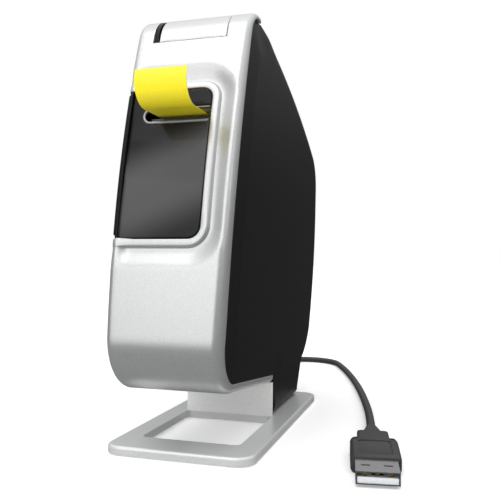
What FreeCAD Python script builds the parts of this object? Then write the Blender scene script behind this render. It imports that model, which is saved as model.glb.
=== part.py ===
"""Desktop label maker: a printer body on a ring stand, with its cassette, tape drive, cutter and USB lead.

Millimetres, +Z up. The origin lies on the table under the middle of the machine: X across, Y from the
front (negative) to the back.
"""
import FreeCAD, Part
import math
import os
import re
import Sketcher
from FreeCAD import Placement, Rotation, Vector

doc = FreeCAD.newDocument("label_maker")

# Driving dimensions -------------------------------------------------------------------------------

SIZES = {
    # body, side view: across is Y, up is Z
    "wall": 2.0,
    "gap": 0.3,
    "half_depth": 69.0,
    "edge_round": 1.0,
    "foot_front": -3.5, "foot_rear": 38.4, "foot_base": 3.0,
    "heel_across": 45.4, "heel_up": 15.9, "heel_radius": 28.0,
    "back_low_across": 60.7, "back_low_up": 28.7, "back_radius": 183.0,
    "back_flat_low": 83.2, "back_flat_high": 93.5, "shoulder_radius": 18.0,
    "shoulder_across": 58.55, "shoulder_up": 109.84, "roof_radius": 345.0,
    "roof_across": -32.07, "roof_up": 139.63, "crest_radius": 11.2,
    "crest_across": -44.55, "crest_up": 132.4, "face_radius": 398.0,
    "chin_across": -66.4, "chin_up": 38.0, "chin_radius": 16.1,
    "belly_across": -52.25, "belly_up": 20.3, "neck_across": -5.1, "neck_up": 15.3,
    # body, front view
    "half_width": 19.2, "half_foot": 16.6, "taper_high": 140.0, "taper_radius": 3770.3, "sky": 160.0,
    # silver front band: its rear edge on the sides
    "band_end": -31.0, "band_end_up": 137.9, "band_crest_radius": 9.3,
    "band_crest_across": -42.0, "band_crest_up": 132.3, "band_face_radius": 395.0,
    "band_chin_across": -61.7, "band_chin_up": 38.0, "band_chin_radius": 12.2,
    "band_belly_across": -53.0, "band_belly_up": 23.3, "band_neck_up": 18.0,
    # window in the front, and the door it belongs to
    "window_low": 66.3, "window_high": 113.2, "window_right": 9.5, "window_corner": 3.8,
    "rim_width": 2.3, "rim_depth": 1.0, "pane_depth": 0.6, "pane_thick": 1.9,
    "slot_low": 102.7, "slot_high": 106.8, "slot_left": -12.3,
    "door_rear": 35.9, "door_corner": 4.0, "door_reach": 3.7, "hinge_gap": 0.4, "web_half": 0.9,
    "hinge_left": -18.0, "hinge_across": 38.0, "knuckle_radius": 1.7, "hinge_pin_radius": 0.9,
    "knuckle_low": 68.0, "knuckle_split_low": 79.0, "knuckle_split_high": 101.0,
    "knuckle_high": 112.0, "running": 0.05, "split_gap": 0.35,
    # keys in the crest: they slide inwards and down at 45 degrees
    "key_left": -12.9, "key_right": -11.25, "button_left": -11.0, "button_right": 11.5,
    "key_reach": 12.0, "button_low_across": -45.6, "button_low_up": 130.5,
    "button_rear_across": -31.6, "button_rear_up": 139.7,
    "post_half": 3.0, "post_front": -43.8, "post_rear": -40.8, "post_foot": 124.1,
    # stand
    "ring_half": 24.0, "ring_front": -56.6, "ring_rear": 43.1, "ring_low": 0.4, "ring_top": 3.0,
    "ring_corner": 5.5, "hole_half": 16.6, "hole_front": -44.2, "hole_corner": 2.0, "ring_round": 0.9,
    "neck_half": 16.5, "pad_rise": 0.6, "screw_shank": 1.2, "screw_head": 2.2,
    "boss_radius": 3.0, "boss_left": -12.0, "standoff_radius": 2.6, "fixing_shank": 0.9, "fixing_head": 1.9,
    "rear_pad_half": 14.0, "rear_pad_front": -3.0, "rear_pad_rear": 37.0, "pad_gap": 0.2,
    "front_pad_inner": 9.0, "front_pad_outer": 20.0, "front_pad_set": 4.0, "front_pad_deep": 5.0,
    # drive: every shaft runs along X
    "chassis_left": 11.5, "chassis_thick": 1.7, "gear_left": 13.8, "gear_thick": 1.9,
    "tooth_module": 0.6, "mesh_slack": 0.12, "tooth_half": 0.38, "stud_radius": 1.0,
    "platen_across": -36.5, "platen_up": 108.9, "platen_radius": 4.2, "platen_half": 8.3,
    "shaft_radius": 1.2, "motor_radius": 8.0, "motor_length": 20.0,
    "motor_boss": 3.0, "motor_nose": 1.5, "motor_cap": 1.4, "motor_flat": 6.2, "motor_shaft_radius": 0.8,
    "bearing_front": 2.6, "bearing_rear": 6.0, "bearing_low": 3.0, "bearing_high": 3.4,
    "bridge_front": 5.0, "bridge_rear": 6.2, "bridge_high": 8.0,
    "pinion_teeth": 12, "idler_teeth": 40, "platen_teeth": 24,
    "train_front": -36.0, "train_middle": -12.0, "train_rear": -9.0, "train_motor": -4.0,
    # print head and cutter
    "arm_across": -32.6, "arm_up": 88.0, "arm_barrel": 2.1, "arm_half": 9.0,
    "head_top": 104.2, "head_half": 8.5, "head_front": -38.4, "head_rear": -34.6, "head_thick": 1.0,
    "blade_half": 10.0, "blade_low": 105.2, "blade_high": 112.0, "blade_front": -45.95, "blade_rear": -45.6,
    "guide_front": -50.3, "guide_rear": -40.6, "guide_low": 97.0, "gap_front": -47.1, "gap_rear": -45.1,
    "gap_low": 101.0, "carriage_front": -46.6, "carriage_rear": -40.5, "carriage_lip": 106.5,
    "carriage_step": -43.6, "carriage_deep": 1.4, "carriage_spring": -43.2,
    "carriage_half": 11.2, "spring_half": 9.9, "spring_low": 104.0, "spring_high": 115.5,
    "spring_radius": 1.15, "spring_wire": 0.35,
    # tape
    "tape_half": 8.0, "tape_low": 104.3, "tape_thick": 0.25, "curl_radius": 6.9,
    "curl_across": -62.1, "curl_end_up": 3.2, "cut_front": -47.2, "cut_rear": -45.1,
    "mouth_across": -28.5,
    # cassette
    "cassette_left": -10.5, "cassette_right": 10.8, "cassette_front": -30.0, "cassette_rear": 30.0,
    "cassette_low": 67.5, "cassette_high": 112.3, "cassette_wall": 1.2, "cassette_corner": 4.0,
    "tape_roll": 11.0, "ribbon_roll": 7.0, "takeup_roll": 5.6, "hub_radius": 2.2, "hub_bore": 1.4,
    "tape_roll_across": -15.0, "tape_roll_up": 82.0, "ribbon_roll_across": 19.5, "ribbon_roll_up": 78.0,
    "mouth_low": 103.4, "mouth_high": 105.6,
    "sight_front": -26.0, "sight_rear": -8.0, "sight_low": 96.0, "sight_high": 106.0,
    # electronics
    "battery_left": -13.0, "battery_right": 5.0, "battery_front": -44.0, "battery_rear": 14.0,
    "battery_low": 26.0, "battery_high": 60.0, "board_left": 7.0, "board_thick": 1.6,
    "board_front": -48.0, "board_rear": 50.0, "board_low": 24.0, "board_high": 62.0,
    "switch_left": 4.6, "switch_width": 4.0, "switch_low": 38.4, "switch_high": 41.4,
    "switch_travel": 2.8,
    # lead and plug
    "lead_radius": 1.5, "lead_left": -6.0, "lead_up": 10.0, "relief_neck": 37.0, "relief_front": 44.6,
    "relief_rear": 56.0, "relief_wide": 3.3, "relief_thin": 2.1,
    "plug_left": 52.8, "plug_across": -8.0, "plug_turn": 8.0, "plug_half": 7.3, "plug_high": 5.2,
    "mould_front": 42.5, "mould_rear": 22.0, "step_rear": 12.0, "step_half": 5.0,
    "socket_deep": 9.0, "thumb_deep": 0.3, "catch_inner": 1.9, "catch_outer": 4.3, "catch_front": 6.1,
    "catch_rear": 4.9, "contact_half": 0.5, "contact_thick": 0.2, "tongue_high": 1.9,
    "shell_front": 53.6, "shell_half": 5.9, "shell_low": 0.9, "shell_high": 4.4, "shell_wall": 0.35,
}

sheet = doc.addObject("Spreadsheet::Sheet", "Sizes")
for row, (alias, value) in enumerate(SIZES.items(), start=1):
    sheet.set(f"A{row}", alias)
    sheet.set(f"B{row}", str(value))
    sheet.setAlias(f"B{row}", alias)
doc.recompute()


# Tools of the workshop ----------------------------------------------------------------------------

def linked(expression):
    """The expression with every size written as a cell of the sheet."""
    return re.sub(r"[a-z_]+", lambda m: f"Sizes.{m[0]}" if m[0] in SIZES else m[0], str(expression))


def size(expression):
    """The number that an expression of sizes gives."""
    return float(sheet.evalExpression(linked(expression)))


def bind(thing, prop, expression):
    """Tie a property to the sheet."""
    thing.setExpression(prop, linked(expression))


def pin_point(sketch, geometry, end, across, up):
    """Hold one point of a sketch at a place given by two expressions."""
    for kind, expression in (("DistanceX", across), ("DistanceY", up)):
        index = sketch.addConstraint(Sketcher.Constraint(kind, -1, 1, geometry, end, size(expression)))
        bind(sketch, f"Constraints[{index}]", expression)


def draw_circle(sketch, across, up, radius):
    centre = Vector(size(across), size(up), 0)
    circle = sketch.addGeometry(Part.Circle(centre, Vector(0, 0, 1), size(radius)), False)
    pin_point(sketch, circle, 3, across, up)
    index = sketch.addConstraint(Sketcher.Constraint("Radius", circle, size(radius)))
    bind(sketch, f"Constraints[{index}]", radius)


def draw_loop(sketch, corners):
    """A closed outline. A corner is (across, up), with the radius of the arc that leads on to the
    next corner as a third value where that stretch is round: positive turns left."""
    places = [Vector(size(corner[0]), size(corner[1]), 0) for corner in corners]
    first = sketch.GeometryCount
    ends = []
    for index, corner in enumerate(corners):
        here, there = places[index], places[(index + 1) % len(corners)]
        if len(corner) == 2:
            sketch.addGeometry(Part.LineSegment(here, there), False)
            ends.append((1, 2))
            continue
        radius = size(corner[2])
        chord = there - here
        side = Vector(-chord.y, chord.x, 0).normalize() * math.copysign(1, radius)
        centre = here + chord * 0.5 + side * math.sqrt(max(radius**2 - chord.Length**2 / 4, 0))
        start, stop = (here, there) if radius > 0 else (there, here)
        angles = [math.atan2(p.y - centre.y, p.x - centre.x) for p in (start, stop)]
        circle = Part.Circle(centre, Vector(0, 0, 1), abs(radius))
        arc = sketch.addGeometry(Part.ArcOfCircle(circle, angles[0], angles[1]), False)
        ends.append((1, 2) if radius > 0 else (2, 1))
        bend = sketch.addConstraint(Sketcher.Constraint("Radius", arc, abs(radius)))
        bind(sketch, f"Constraints[{bend}]", f"abs({corner[2]})")
    for index, corner in enumerate(corners):
        following = (index + 1) % len(corners)
        sketch.addConstraint(Sketcher.Constraint(
            "Coincident", first + index, ends[index][1], first + following, ends[following][0]))
        pin_point(sketch, first + index, ends[index][0], corner[0], corner[1])


def rounded(low_across, low_up, high_across, high_up, radius):
    """Corners of a rectangle with round corners."""
    return [
        (f"{low_across} + {radius}", low_up), (f"{high_across} - {radius}", low_up, radius),
        (high_across, f"{low_up} + {radius}"), (high_across, f"{high_up} - {radius}", radius),
        (f"{high_across} - {radius}", high_up), (f"{low_across} + {radius}", high_up, radius),
        (low_across, f"{high_up} - {radius}"), (low_across, f"{low_up} + {radius}", radius),
    ]


def rectangle(low_across, low_up, high_across, high_up):
    return [(low_across, low_up), (high_across, low_up), (high_across, high_up), (low_across, high_up)]


def draw(sketch, loops):
    """Loops of corners, and circles as (across, up, radius) tuples."""
    for loop in loops:
        if isinstance(loop, tuple):
            draw_circle(sketch, *loop)
        else:
            draw_loop(sketch, loop)


# YZ looks along X from the right, XZ from the front, XY from above. The sign says which way the
# plane's normal points along its axis.
PLANES = {
    "YZ": ("x", 1, Rotation(Vector(0, 1, 0), Vector(0, 0, 1), Vector(1, 0, 0), "XYZ")),
    "XZ": ("y", -1, Rotation(Vector(1, 0, 0), Vector(0, 0, 1), Vector(0, -1, 0), "XYZ")),
    "XY": ("z", 1, Rotation()),
}


def body_sketch(body, plane, start, loops, name):
    sketch = body.newObject("Sketcher::SketchObject", name)
    base = [o for o in body.Origin.OriginFeatures if o.Role == f"{plane}_Plane"][0]
    sketch.AttachmentSupport = [(base, "")]
    sketch.MapMode = "FlatFace"
    bind(sketch, "AttachmentOffset.Base.z", f"{PLANES[plane][1]} * ({start})")
    draw(sketch, loops)
    return sketch


def pad(body, plane, start, stop, loops, name="pad"):
    """Material from one plane to a higher parallel one."""
    sketch = body_sketch(body, plane, start, loops, f"{body.Name}_{name}_outline")
    feature = body.newObject("PartDesign::Pad", f"{body.Name}_{name}")
    feature.Profile = sketch
    feature.Reversed = PLANES[plane][1] < 0
    bind(feature, "Length", f"({stop}) - ({start})")
    return feature


def pocket(body, plane, start, stop, loops, name="pocket"):
    """A cut from one plane to a higher parallel one, which must remove something."""
    doc.recompute()
    before = body.Shape.Volume
    sketch = body_sketch(body, plane, start, loops, f"{body.Name}_{name}_outline")
    feature = body.newObject("PartDesign::Pocket", f"{body.Name}_{name}")
    feature.Profile = sketch
    feature.Reversed = PLANES[plane][1] > 0
    bind(feature, "Length", f"({stop}) - ({start})")
    doc.recompute()
    if body.Shape.Volume > before - 1e-3:
        raise RuntimeError(f"{feature.Name} cuts nothing")
    return feature


def plate(label, plane, start, stop, loops):
    """A body that is one outline padded between two planes."""
    body = doc.addObject("PartDesign::Body", label)
    pad(body, plane, start, stop, loops)
    return body


def soften(body, radius, wanted):
    """Round the edges of a body that the test picks."""
    doc.recompute()
    tip = body.Tip
    edges = [f"Edge{i}" for i, edge in enumerate(tip.Shape.Edges, start=1) if wanted(edge)]
    feature = body.newObject("PartDesign::Fillet", f"{body.Name}_soft_edges")
    feature.Base = (tip, edges)
    bind(feature, "Radius", radius)
    return feature


def prism(name, plane, start, stop, loops):
    """A free solid, used to trim others."""
    sketch = doc.addObject("Sketcher::SketchObject", f"{name}_outline")
    axis, way, turn = PLANES[plane]
    sketch.Placement = Placement(Vector(), turn)
    bind(sketch, f"Placement.Base.{axis}", start)
    draw(sketch, loops)
    solid = doc.addObject("Part::Extrusion", name)
    solid.Base = sketch
    solid.DirMode = "Normal"
    solid.Solid = True
    bind(solid, "LengthFwd" if way > 0 else "LengthRev", f"({stop}) - ({start})")
    if way < 0:
        solid.LengthFwd = 0
    return solid


def inset(name, depth):
    """The side outline moved inwards by a depth, as a free solid right across the machine."""
    ring = doc.addObject("Part::Offset2D", f"{name}_outline")
    ring.Source = side_solid.Base
    bind(ring, "Value", f"-({depth})")
    solid = doc.addObject("Part::Extrusion", name)
    solid.Base = ring
    solid.DirMode = "Custom"
    solid.Dir = Vector(1, 0, 0)
    solid.Solid = True
    bind(solid, "LengthFwd", "2 * half_width + 10")
    return solid


def common(name, *solids):
    shared = doc.addObject("Part::MultiCommon", name)
    shared.Shapes = list(solids)
    return shared


def fuse(name, *solids):
    whole = doc.addObject("Part::MultiFuse", name)
    whole.Shapes = list(solids)
    return whole


def cut(name, base, *tools):
    """The base without the tools."""
    for index, tool in enumerate(tools, start=1):
        rest = doc.addObject("Part::Cut", name if index == len(tools) else f"{name}_{index}")
        rest.Base = base
        rest.Tool = tool
        base = rest
    return base


def rod(name, axis, low, high, first, second, radius):
    """A cylinder along an axis. The two places are the other coordinates in X, Y, Z order."""
    solid = doc.addObject("Part::Cylinder", name)
    bind(solid, "Radius", radius)
    bind(solid, "Height", f"({high}) - ({low})")
    turn = {"x": Rotation(Vector(0, 1, 0), 90), "y": Rotation(Vector(1, 0, 0), -90), "z": Rotation()}
    solid.Placement = Placement(Vector(), turn[axis])
    bind(solid, f"Placement.Base.{axis}", low)
    others = [letter for letter in "xyz" if letter != axis]
    bind(solid, f"Placement.Base.{others[0]}", first)
    bind(solid, f"Placement.Base.{others[1]}", second)
    return solid


def block(name, left, right, front, rear, low, high):
    solid = doc.addObject("Part::Box", name)
    for letter, side, start, stop in (
            ("x", "Length", left, right), ("y", "Width", front, rear), ("z", "Height", low, high)):
        bind(solid, side, f"({stop}) - ({start})")
        bind(solid, f"Placement.Base.{letter}", start)
    return solid


def group(label, *solids):
    """Like pieces kept as separate solids in one node."""
    whole = doc.addObject("Part::Compound", label)
    whole.Links = list(solids)
    return whole


pieces = []


def keep(thing, label=None):
    """List a finished sub-part under its own label."""
    thing.Label = label or thing.Name
    pieces.append(thing)
    return thing


# Body envelope: the side outline crossed with the front outline, hollowed by one wall --------------

side_corners = [
    ("foot_front", "foot_base"),
    ("foot_rear", "foot_base"),
    ("heel_across", "heel_up", "heel_radius"),
    ("back_low_across", "back_low_up", "back_radius"),
    ("half_depth", "back_flat_low"),
    ("half_depth", "back_flat_high", "shoulder_radius"),
    ("shoulder_across", "shoulder_up", "roof_radius"),
    ("roof_across", "roof_up", "crest_radius"),
    ("crest_across", "crest_up", "face_radius"),
    ("chin_across", "chin_up", "chin_radius"),
    ("belly_across", "belly_up"),
    ("neck_across", "neck_up"),
    ("foot_front", "neck_up"),
]
side_solid = prism("side_solid", "YZ", "-half_width - 5", "half_width + 5", [side_corners])


def front_corners(less):
    """Front view of the body, narrowed by a wall or nothing on each side."""
    return [
        (f"{less} - half_foot", "0"),
        (f"half_foot - {less}", "0", "taper_radius"),
        (f"half_width - {less}", "taper_high"),
        (f"half_width - {less}", "sky"),
        (f"{less} - half_width", "sky"),
        (f"{less} - half_width", "taper_high", "taper_radius"),
    ]


front_solid = prism("front_solid", "XZ", "-half_depth - 5", "half_depth + 5", [front_corners("0")])
front_hollow = prism("front_hollow", "XZ", "-half_depth - 5", "half_depth + 5", [front_corners("wall")])
envelope = common("envelope", side_solid, front_solid)
hollow = common("hollow", inset("side_hollow", "wall"), front_hollow)
doc.recompute()


def is_long_edge(edge):
    """An edge between a side of the body and its front, top, back or belly."""
    box = edge.BoundBox
    if box.XLength > 3 or box.Center.z < 3.5:
        return False
    if abs(box.Center.y - size("foot_front")) < 1 or box.YLength < 2.5 and box.Center.z < 16:
        return False
    return not (box.Center.z < size("heel_up") and box.Center.y > size("foot_rear"))


rounded_envelope = doc.addObject("Part::Fillet", "rounded_envelope")
rounded_envelope.Base = envelope
rounded_envelope.Edges = [
    (index, size("edge_round"), size("edge_round"))
    for index, edge in enumerate(envelope.Shape.Edges, start=1) if is_long_edge(edge)]
shell = cut("shell", rounded_envelope, hollow)

# The silver band wraps the front, from the roof round the chin and back under the belly.
band_zone = prism("band_zone", "YZ", "-half_width - 5", "half_width + 5", [[
    ("band_end", "sky"), ("-half_depth - 9", "sky"), ("-half_depth - 9", "5"), ("foot_front", "5"),
    ("foot_front", "band_neck_up"),
    ("band_belly_across", "band_belly_up", "-band_chin_radius"),
    ("band_chin_across", "band_chin_up", "-band_face_radius"),
    ("band_crest_across", "band_crest_up", "-band_crest_radius"),
    ("band_end", "band_end_up"),
]])

# Front window: open to the left, where the door carries the pane ---------------------------------

window_hole = prism("window_hole", "XZ", "-half_depth - 9", "band_end", [[
    ("-half_width - 5", "window_low"),
    ("window_right - window_corner", "window_low", "window_corner"),
    ("window_right", "window_low + window_corner"),
    ("window_right", "window_high - window_corner", "window_corner"),
    ("window_right - window_corner", "window_high"),
    ("-half_width - 5", "window_high"),
]])
rim_corner = "(window_corner + rim_width)"
rim_zone = prism("rim_zone", "XZ", "-half_depth - 9", "band_end", [[
    ("-half_width - 5", "window_low - rim_width"),
    (f"window_right + rim_width - {rim_corner}", "window_low - rim_width", rim_corner),
    ("window_right + rim_width", f"window_low - rim_width + {rim_corner}"),
    ("window_right + rim_width", f"window_high + rim_width - {rim_corner}", rim_corner),
    (f"window_right + rim_width - {rim_corner}", "window_high + rim_width"),
    ("-half_width - 5", "window_high + rim_width"),
]])
rim_step = cut("rim_step", rim_zone, inset("under_rim", "rim_depth"))

slot_round = "(slot_high - slot_low) / 2"
pane_zone = prism("pane_zone", "XZ", "-half_depth - 9", "band_end", [[
    ("wall - half_width", "window_low + gap"),
    ("window_right - window_corner", "window_low + gap", "(window_corner - gap)"),
    ("window_right - gap", "window_low + window_corner"),
    ("window_right - gap", "slot_low"),
    (f"slot_left + {slot_round}", "slot_low", f"-{slot_round} - 0.01"),
    (f"slot_left + {slot_round}", "slot_high"),
    ("window_right - gap", "slot_high"),
    ("window_right - gap", "window_high - window_corner", "(window_corner - gap)"),
    ("window_right - window_corner", "window_high - gap"),
    ("wall - half_width", "window_high - gap"),
]])
pane_front = inset("pane_front", "pane_depth")
pane_back = inset("pane_back", "pane_depth + pane_thick")
keep(common("window_panel", cut("pane_skin", pane_front, pane_back), pane_zone))

# Cassette door: the left wall over the cassette, with two knuckles on a long pin ------------------

door_hole = prism("door_hole", "YZ", "-half_width - 5", "door_reach - half_width", [
    rectangle("-half_depth - 9", "window_low", "hinge_across + knuckle_radius + hinge_gap", "window_high")])
door_zone = prism("door_zone", "YZ", "-half_width - 5", "door_reach - half_width", [[
    ("-half_depth - 9", "window_low + gap"),
    ("door_rear - door_corner", "window_low + gap", "door_corner"),
    ("door_rear", "window_low + gap + door_corner"),
    ("door_rear", "window_high - gap - door_corner", "door_corner"),
    ("door_rear - door_corner", "window_high - gap"),
    ("-half_depth - 9", "window_high - gap"),
]])
door_skin = cut("door_skin", common("door_blank", shell, door_zone), pane_zone)


def knuckle(name, low, high):
    """A hinge barrel round the pin."""
    return rod(name, "z", low, high, "hinge_left", "hinge_across", "knuckle_radius")


def hinge_web(name, front, rear, low, high):
    """The flat between a hinge barrel and its plate."""
    return block(name, "hinge_left - web_half", "hinge_left + web_half", front, rear, low, high)


door_solid = fuse(
    "door_solid", door_skin,
    knuckle("door_knuckle_low", "knuckle_low", "knuckle_split_low"),
    knuckle("door_knuckle_high", "knuckle_split_high", "knuckle_high"),
    hinge_web("door_web_low", "door_rear - 1", "hinge_across", "knuckle_low + 4", "knuckle_split_low"),
    hinge_web("door_web_high", "door_rear - 1", "hinge_across", "knuckle_split_high", "knuckle_high - 4"))
keep(cut("cassette_door", door_solid,
         rod("door_bore", "z", "knuckle_low - 1", "knuckle_high + 1", "hinge_left", "hinge_across",
             "hinge_pin_radius + running")))
keep(rod("door_hinge_pin", "z", "knuckle_low - 0.5", "knuckle_high + 0.5", "hinge_left",
         "hinge_across", "hinge_pin_radius"))

# Keys in the crest: the wide silver cutter button and the slim black power key beside it ----------


def key_corners(spare):
    """The keys' zone from the side. Its two ends follow the 45 degree travel."""
    reach = "key_reach * 0.7071"
    low = ("button_low_across", f"button_low_up - 1.4142 * {spare}")
    rear = ("button_rear_across", f"button_rear_up + 1.4142 * {spare}")
    return [
        (f"{low[0]} - {reach}", f"{low[1]} + {reach}"),
        (f"{low[0]} + {reach}", f"{low[1]} - {reach}"),
        (f"{rear[0]} + {reach}", f"{rear[1]} - {reach}"),
        (f"{rear[0]} - {reach}", f"{rear[1]} + {reach}"),
    ]


key_hole = prism("key_hole", "YZ", "key_left - gap", "button_right + gap", [key_corners("gap")])
button_zone = prism("button_zone", "YZ", "button_left", "button_right", [key_corners("0")])
key_zone = prism("key_zone", "YZ", "key_left", "key_right", [key_corners("0")])
button_post = prism("button_post", "YZ", "-post_half", "post_half", [[
    ("post_front", "post_foot"), ("post_rear", "post_foot"), ("post_rear", "band_end_up - 1.2"),
    ("post_front", "crest_up - 1.2")]])
keep(fuse("cutter_button", common("button_skin", shell, button_zone), button_post))
keep(common("power_key", shell, key_zone))

# Front shell and the two black housings ------------------------------------------------------------

keep(cut("front_shell", common("band", shell, band_zone), window_hole, rim_step, door_hole, key_hole))

black = cut("black", shell, band_zone, key_hole)


def boss(name, across, up, start, stop, radius):
    """A round post across the machine."""
    return rod(name, "x", start, stop, across, up, radius)


HOUSING_SCREWS = (("54", "50"), ("50", "103"), ("20", "12"))
STAND_SCREWS = [(x, y) for x in ("-9", "9") for y in ("5", "30")]
CHASSIS_SCREWS = (("-38", "30"), ("41", "30"), ("34", "108"))
switch_hole = block("switch_hole", "switch_left - gap", "switch_left + switch_width + switch_travel + gap",
                    "back_low_across - 4", "half_depth", "switch_low - gap", "switch_high + gap")
relief_hole = rod("relief_hole", "y", "relief_neck", "relief_rear", "lead_left", "lead_up",
                  "relief_wide - 0.8")
right_half = block("right_half", "0", "half_width + 5", "-80", "80", "0", "sky")
left_half = block("left_half", "-half_width - 5", "0", "-80", "80", "0", "sky")

stand_holes = fuse("stand_holes", *[
    rod(f"stand_hole_{i}", "z", "foot_base - 1", "foot_base + wall", x, y, "screw_shank")
    for i, (x, y) in enumerate(STAND_SCREWS)])
bosses = [boss(f"boss_{i}", y, z, "boss_left", "half_width", "boss_radius")
          for i, (y, z) in enumerate(HOUSING_SCREWS)]
standoffs = [boss(f"standoff_{i}", y, z, "chassis_left + chassis_thick", "half_width", "standoff_radius")
             for i, (y, z) in enumerate(CHASSIS_SCREWS)]
posts = common("posts", fuse("post_blanks", *bosses, *standoffs), rounded_envelope)
screw_holes = fuse("screw_holes", *[
    boss(f"screw_hole_{i}", y, z, "boss_left - 1", "10", "screw_shank")
    for i, (y, z) in enumerate(HOUSING_SCREWS)])
standoff_holes = fuse("standoff_holes", *[
    boss(f"standoff_hole_{i}", y, z, "chassis_left", "half_foot - 0.8", "fixing_shank")
    for i, (y, z) in enumerate(CHASSIS_SCREWS)])
keep(cut("right_housing",
         fuse("right_solid", common("right_skin", black, right_half), posts),
         screw_holes, standoff_holes, switch_hole, stand_holes))

door_web = hinge_web("housing_web", "hinge_across", "hinge_across + 4", "knuckle_split_low + split_gap",
                     "knuckle_split_high - split_gap")
housing_knuckle = knuckle("housing_knuckle", "knuckle_split_low + split_gap",
                          "knuckle_split_high - split_gap")
battery_zone = prism("battery_zone", "YZ", "-half_width - 5", "-half_foot + wall + 1", [
    rounded("battery_front", "battery_low", "battery_rear", "battery_high", "3")])
battery_hole = prism("battery_hole", "YZ", "-half_width - 5", "-half_foot + wall + 1", [
    rounded("battery_front - gap", "battery_low - gap", "battery_rear + gap", "battery_high + gap",
            "3.3")])
head_holes = fuse("head_holes", *[
    boss(f"head_hole_{i}", y, z, "-half_width - 2", "-half_foot - 0.2", "screw_head + 0.15")
    for i, (y, z) in enumerate(HOUSING_SCREWS)])
shank_holes = fuse("shank_holes", *[
    boss(f"shank_hole_{i}", y, z, "-half_width - 2", "boss_left", "screw_shank + 0.1")
    for i, (y, z) in enumerate(HOUSING_SCREWS)])
left_skin = cut("left_skin", common("left_blank", black, left_half), door_hole, battery_hole)
hinge_bore = rod("hinge_bore", "z", "knuckle_low", "knuckle_high", "hinge_left", "hinge_across",
                 "hinge_pin_radius")
keep(cut("left_housing", fuse("left_solid", left_skin, door_web, housing_knuckle),
         hinge_bore, head_holes, shank_holes, relief_hole, stand_holes))
keep(common("battery_cover", shell, battery_zone))

screws = []
for i, (y, z) in enumerate(HOUSING_SCREWS):
    head = boss(f"screw_head_{i}", y, z, "-half_foot - 1.6", "-half_foot - 0.2", "screw_head")
    shank = boss(f"screw_shank_{i}", y, z, "-half_foot - 0.4", "4", "screw_shank")
    drive = block(f"screw_drive_{i}", "-half_foot - 2", "-half_foot - 1",
                  f"{y} - 1.4", f"{y} + 1.4", f"{z} - 0.3", f"{z} + 0.3")
    screws.append(cut(f"housing_screw_{i}", fuse(f"screw_blank_{i}", head, shank), drive))
keep(group("housing_screws", *screws))

keep(block("switch_knob", "switch_left", "switch_left + switch_width", "back_low_across - 1.5",
           "back_low_across + 4.2", "switch_low", "switch_high"))

# Stand: a flat silver ring, a riser in front of the foot, pads and screws underneath ---------------



def rear_pad(spare):
    """Outline of the pad under the foot, or of its recess."""
    return rounded(f"-rear_pad_half - {spare}", f"rear_pad_front - {spare}", f"rear_pad_half + {spare}",
                   f"rear_pad_rear + {spare}", f"(2 + {spare})")


def front_pad(side, spare):
    """Outline of a pad under the front rail, or of its recess: side -1 is the left one."""
    edges = sorted((f"{side} * front_pad_inner - {side} * ({spare})",
                    f"{side} * front_pad_outer + {side} * ({spare})"), key=size)
    front = "ring_front + front_pad_set"
    return rounded(edges[0], f"{front} - {spare}", edges[1], f"{front} + front_pad_deep + {spare}",
                   f"(1.8 + {spare})")


ring = plate("stand_ring", "XY", "ring_low", "ring_top", [
    rounded("-ring_half", "ring_front", "ring_half", "ring_rear", "ring_corner"),
    rounded("-hole_half", "hole_front", "hole_half", "neck_across", "hole_corner")])
soften(ring, "ring_round", lambda edge: edge.BoundBox.ZLength < 0.01 and edge.BoundBox.ZMin > 2
       and (abs(edge.BoundBox.Center.x) > size("hole_half") + 3
            or edge.BoundBox.Center.y < size("hole_front") - 3
            or edge.BoundBox.Center.y > size("ring_rear") - 3))
pocket(ring, "XY", "ring_low", "ring_low + pad_rise", [
    rear_pad("pad_gap"), front_pad(-1, "pad_gap"), front_pad(1, "pad_gap")], "pad_recess")
pocket(ring, "XY", "ring_low", "ring_top", [(x, y, "screw_shank + 0.1") for x, y in STAND_SCREWS],
       "screw_clearance")
pocket(ring, "XY", "ring_low", "ring_low + 1.6", [(x, y, "screw_head + 0.2") for x, y in STAND_SCREWS],
       "screw_seat")
keep(ring)

riser = plate("stand_riser", "YZ", "-neck_half", "neck_half", [
    rectangle("neck_across", "ring_top", "foot_front", "neck_up")])
keep(riser)
keep(plate("rear_foot_pad", "XY", "0", "ring_low + pad_rise", [rear_pad("0")]))
front_pads = [
    plate(f"front_pad_{name}", "XY", "0", "ring_low + pad_rise", [front_pad(side, "0")])
    for name, side in (("left", -1), ("right", 1))]
keep(group("front_foot_pads", *front_pads))
stand_screws = []
for i, (x, y) in enumerate(STAND_SCREWS):
    head = rod(f"stand_head_{i}", "z", "ring_low + pad_rise + 0.05", "ring_low + 1.6", x, y, "screw_head")
    shank = rod(f"stand_shank_{i}", "z", "ring_low + 1.5", "foot_base + wall", x, y, "screw_shank")
    stand_screws.append(fuse(f"stand_screw_{i}", head, shank))
keep(group("stand_screws", *stand_screws))

# Chassis plate, with every shaft of the drive across it --------------------------------------------

mesh_wide = "(tooth_module * (idler_teeth + idler_teeth) / 2 + mesh_slack)"
mesh_platen = "(tooth_module * (idler_teeth + platen_teeth) / 2 + mesh_slack)"
mesh_motor = "(tooth_module * (idler_teeth + pinion_teeth) / 2 + mesh_slack)"


def beside(place, distance, angle):
    """The centre of the next gear of the train, at an angle from the last one."""
    return (place[0] + size(distance) * math.cos(math.radians(size(angle))),
            place[1] + size(distance) * math.sin(math.radians(size(angle))))


platen_at = (size("platen_across"), size("platen_up"))
front_idler_at = beside(platen_at, mesh_platen, "train_front")
takeup_at = beside(front_idler_at, mesh_wide, "train_middle")
rear_idler_at = beside(takeup_at, mesh_wide, "train_rear")
motor_at = beside(rear_idler_at, mesh_motor, "train_motor")
arm_at = (size("arm_across"), size("arm_up"))

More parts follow.
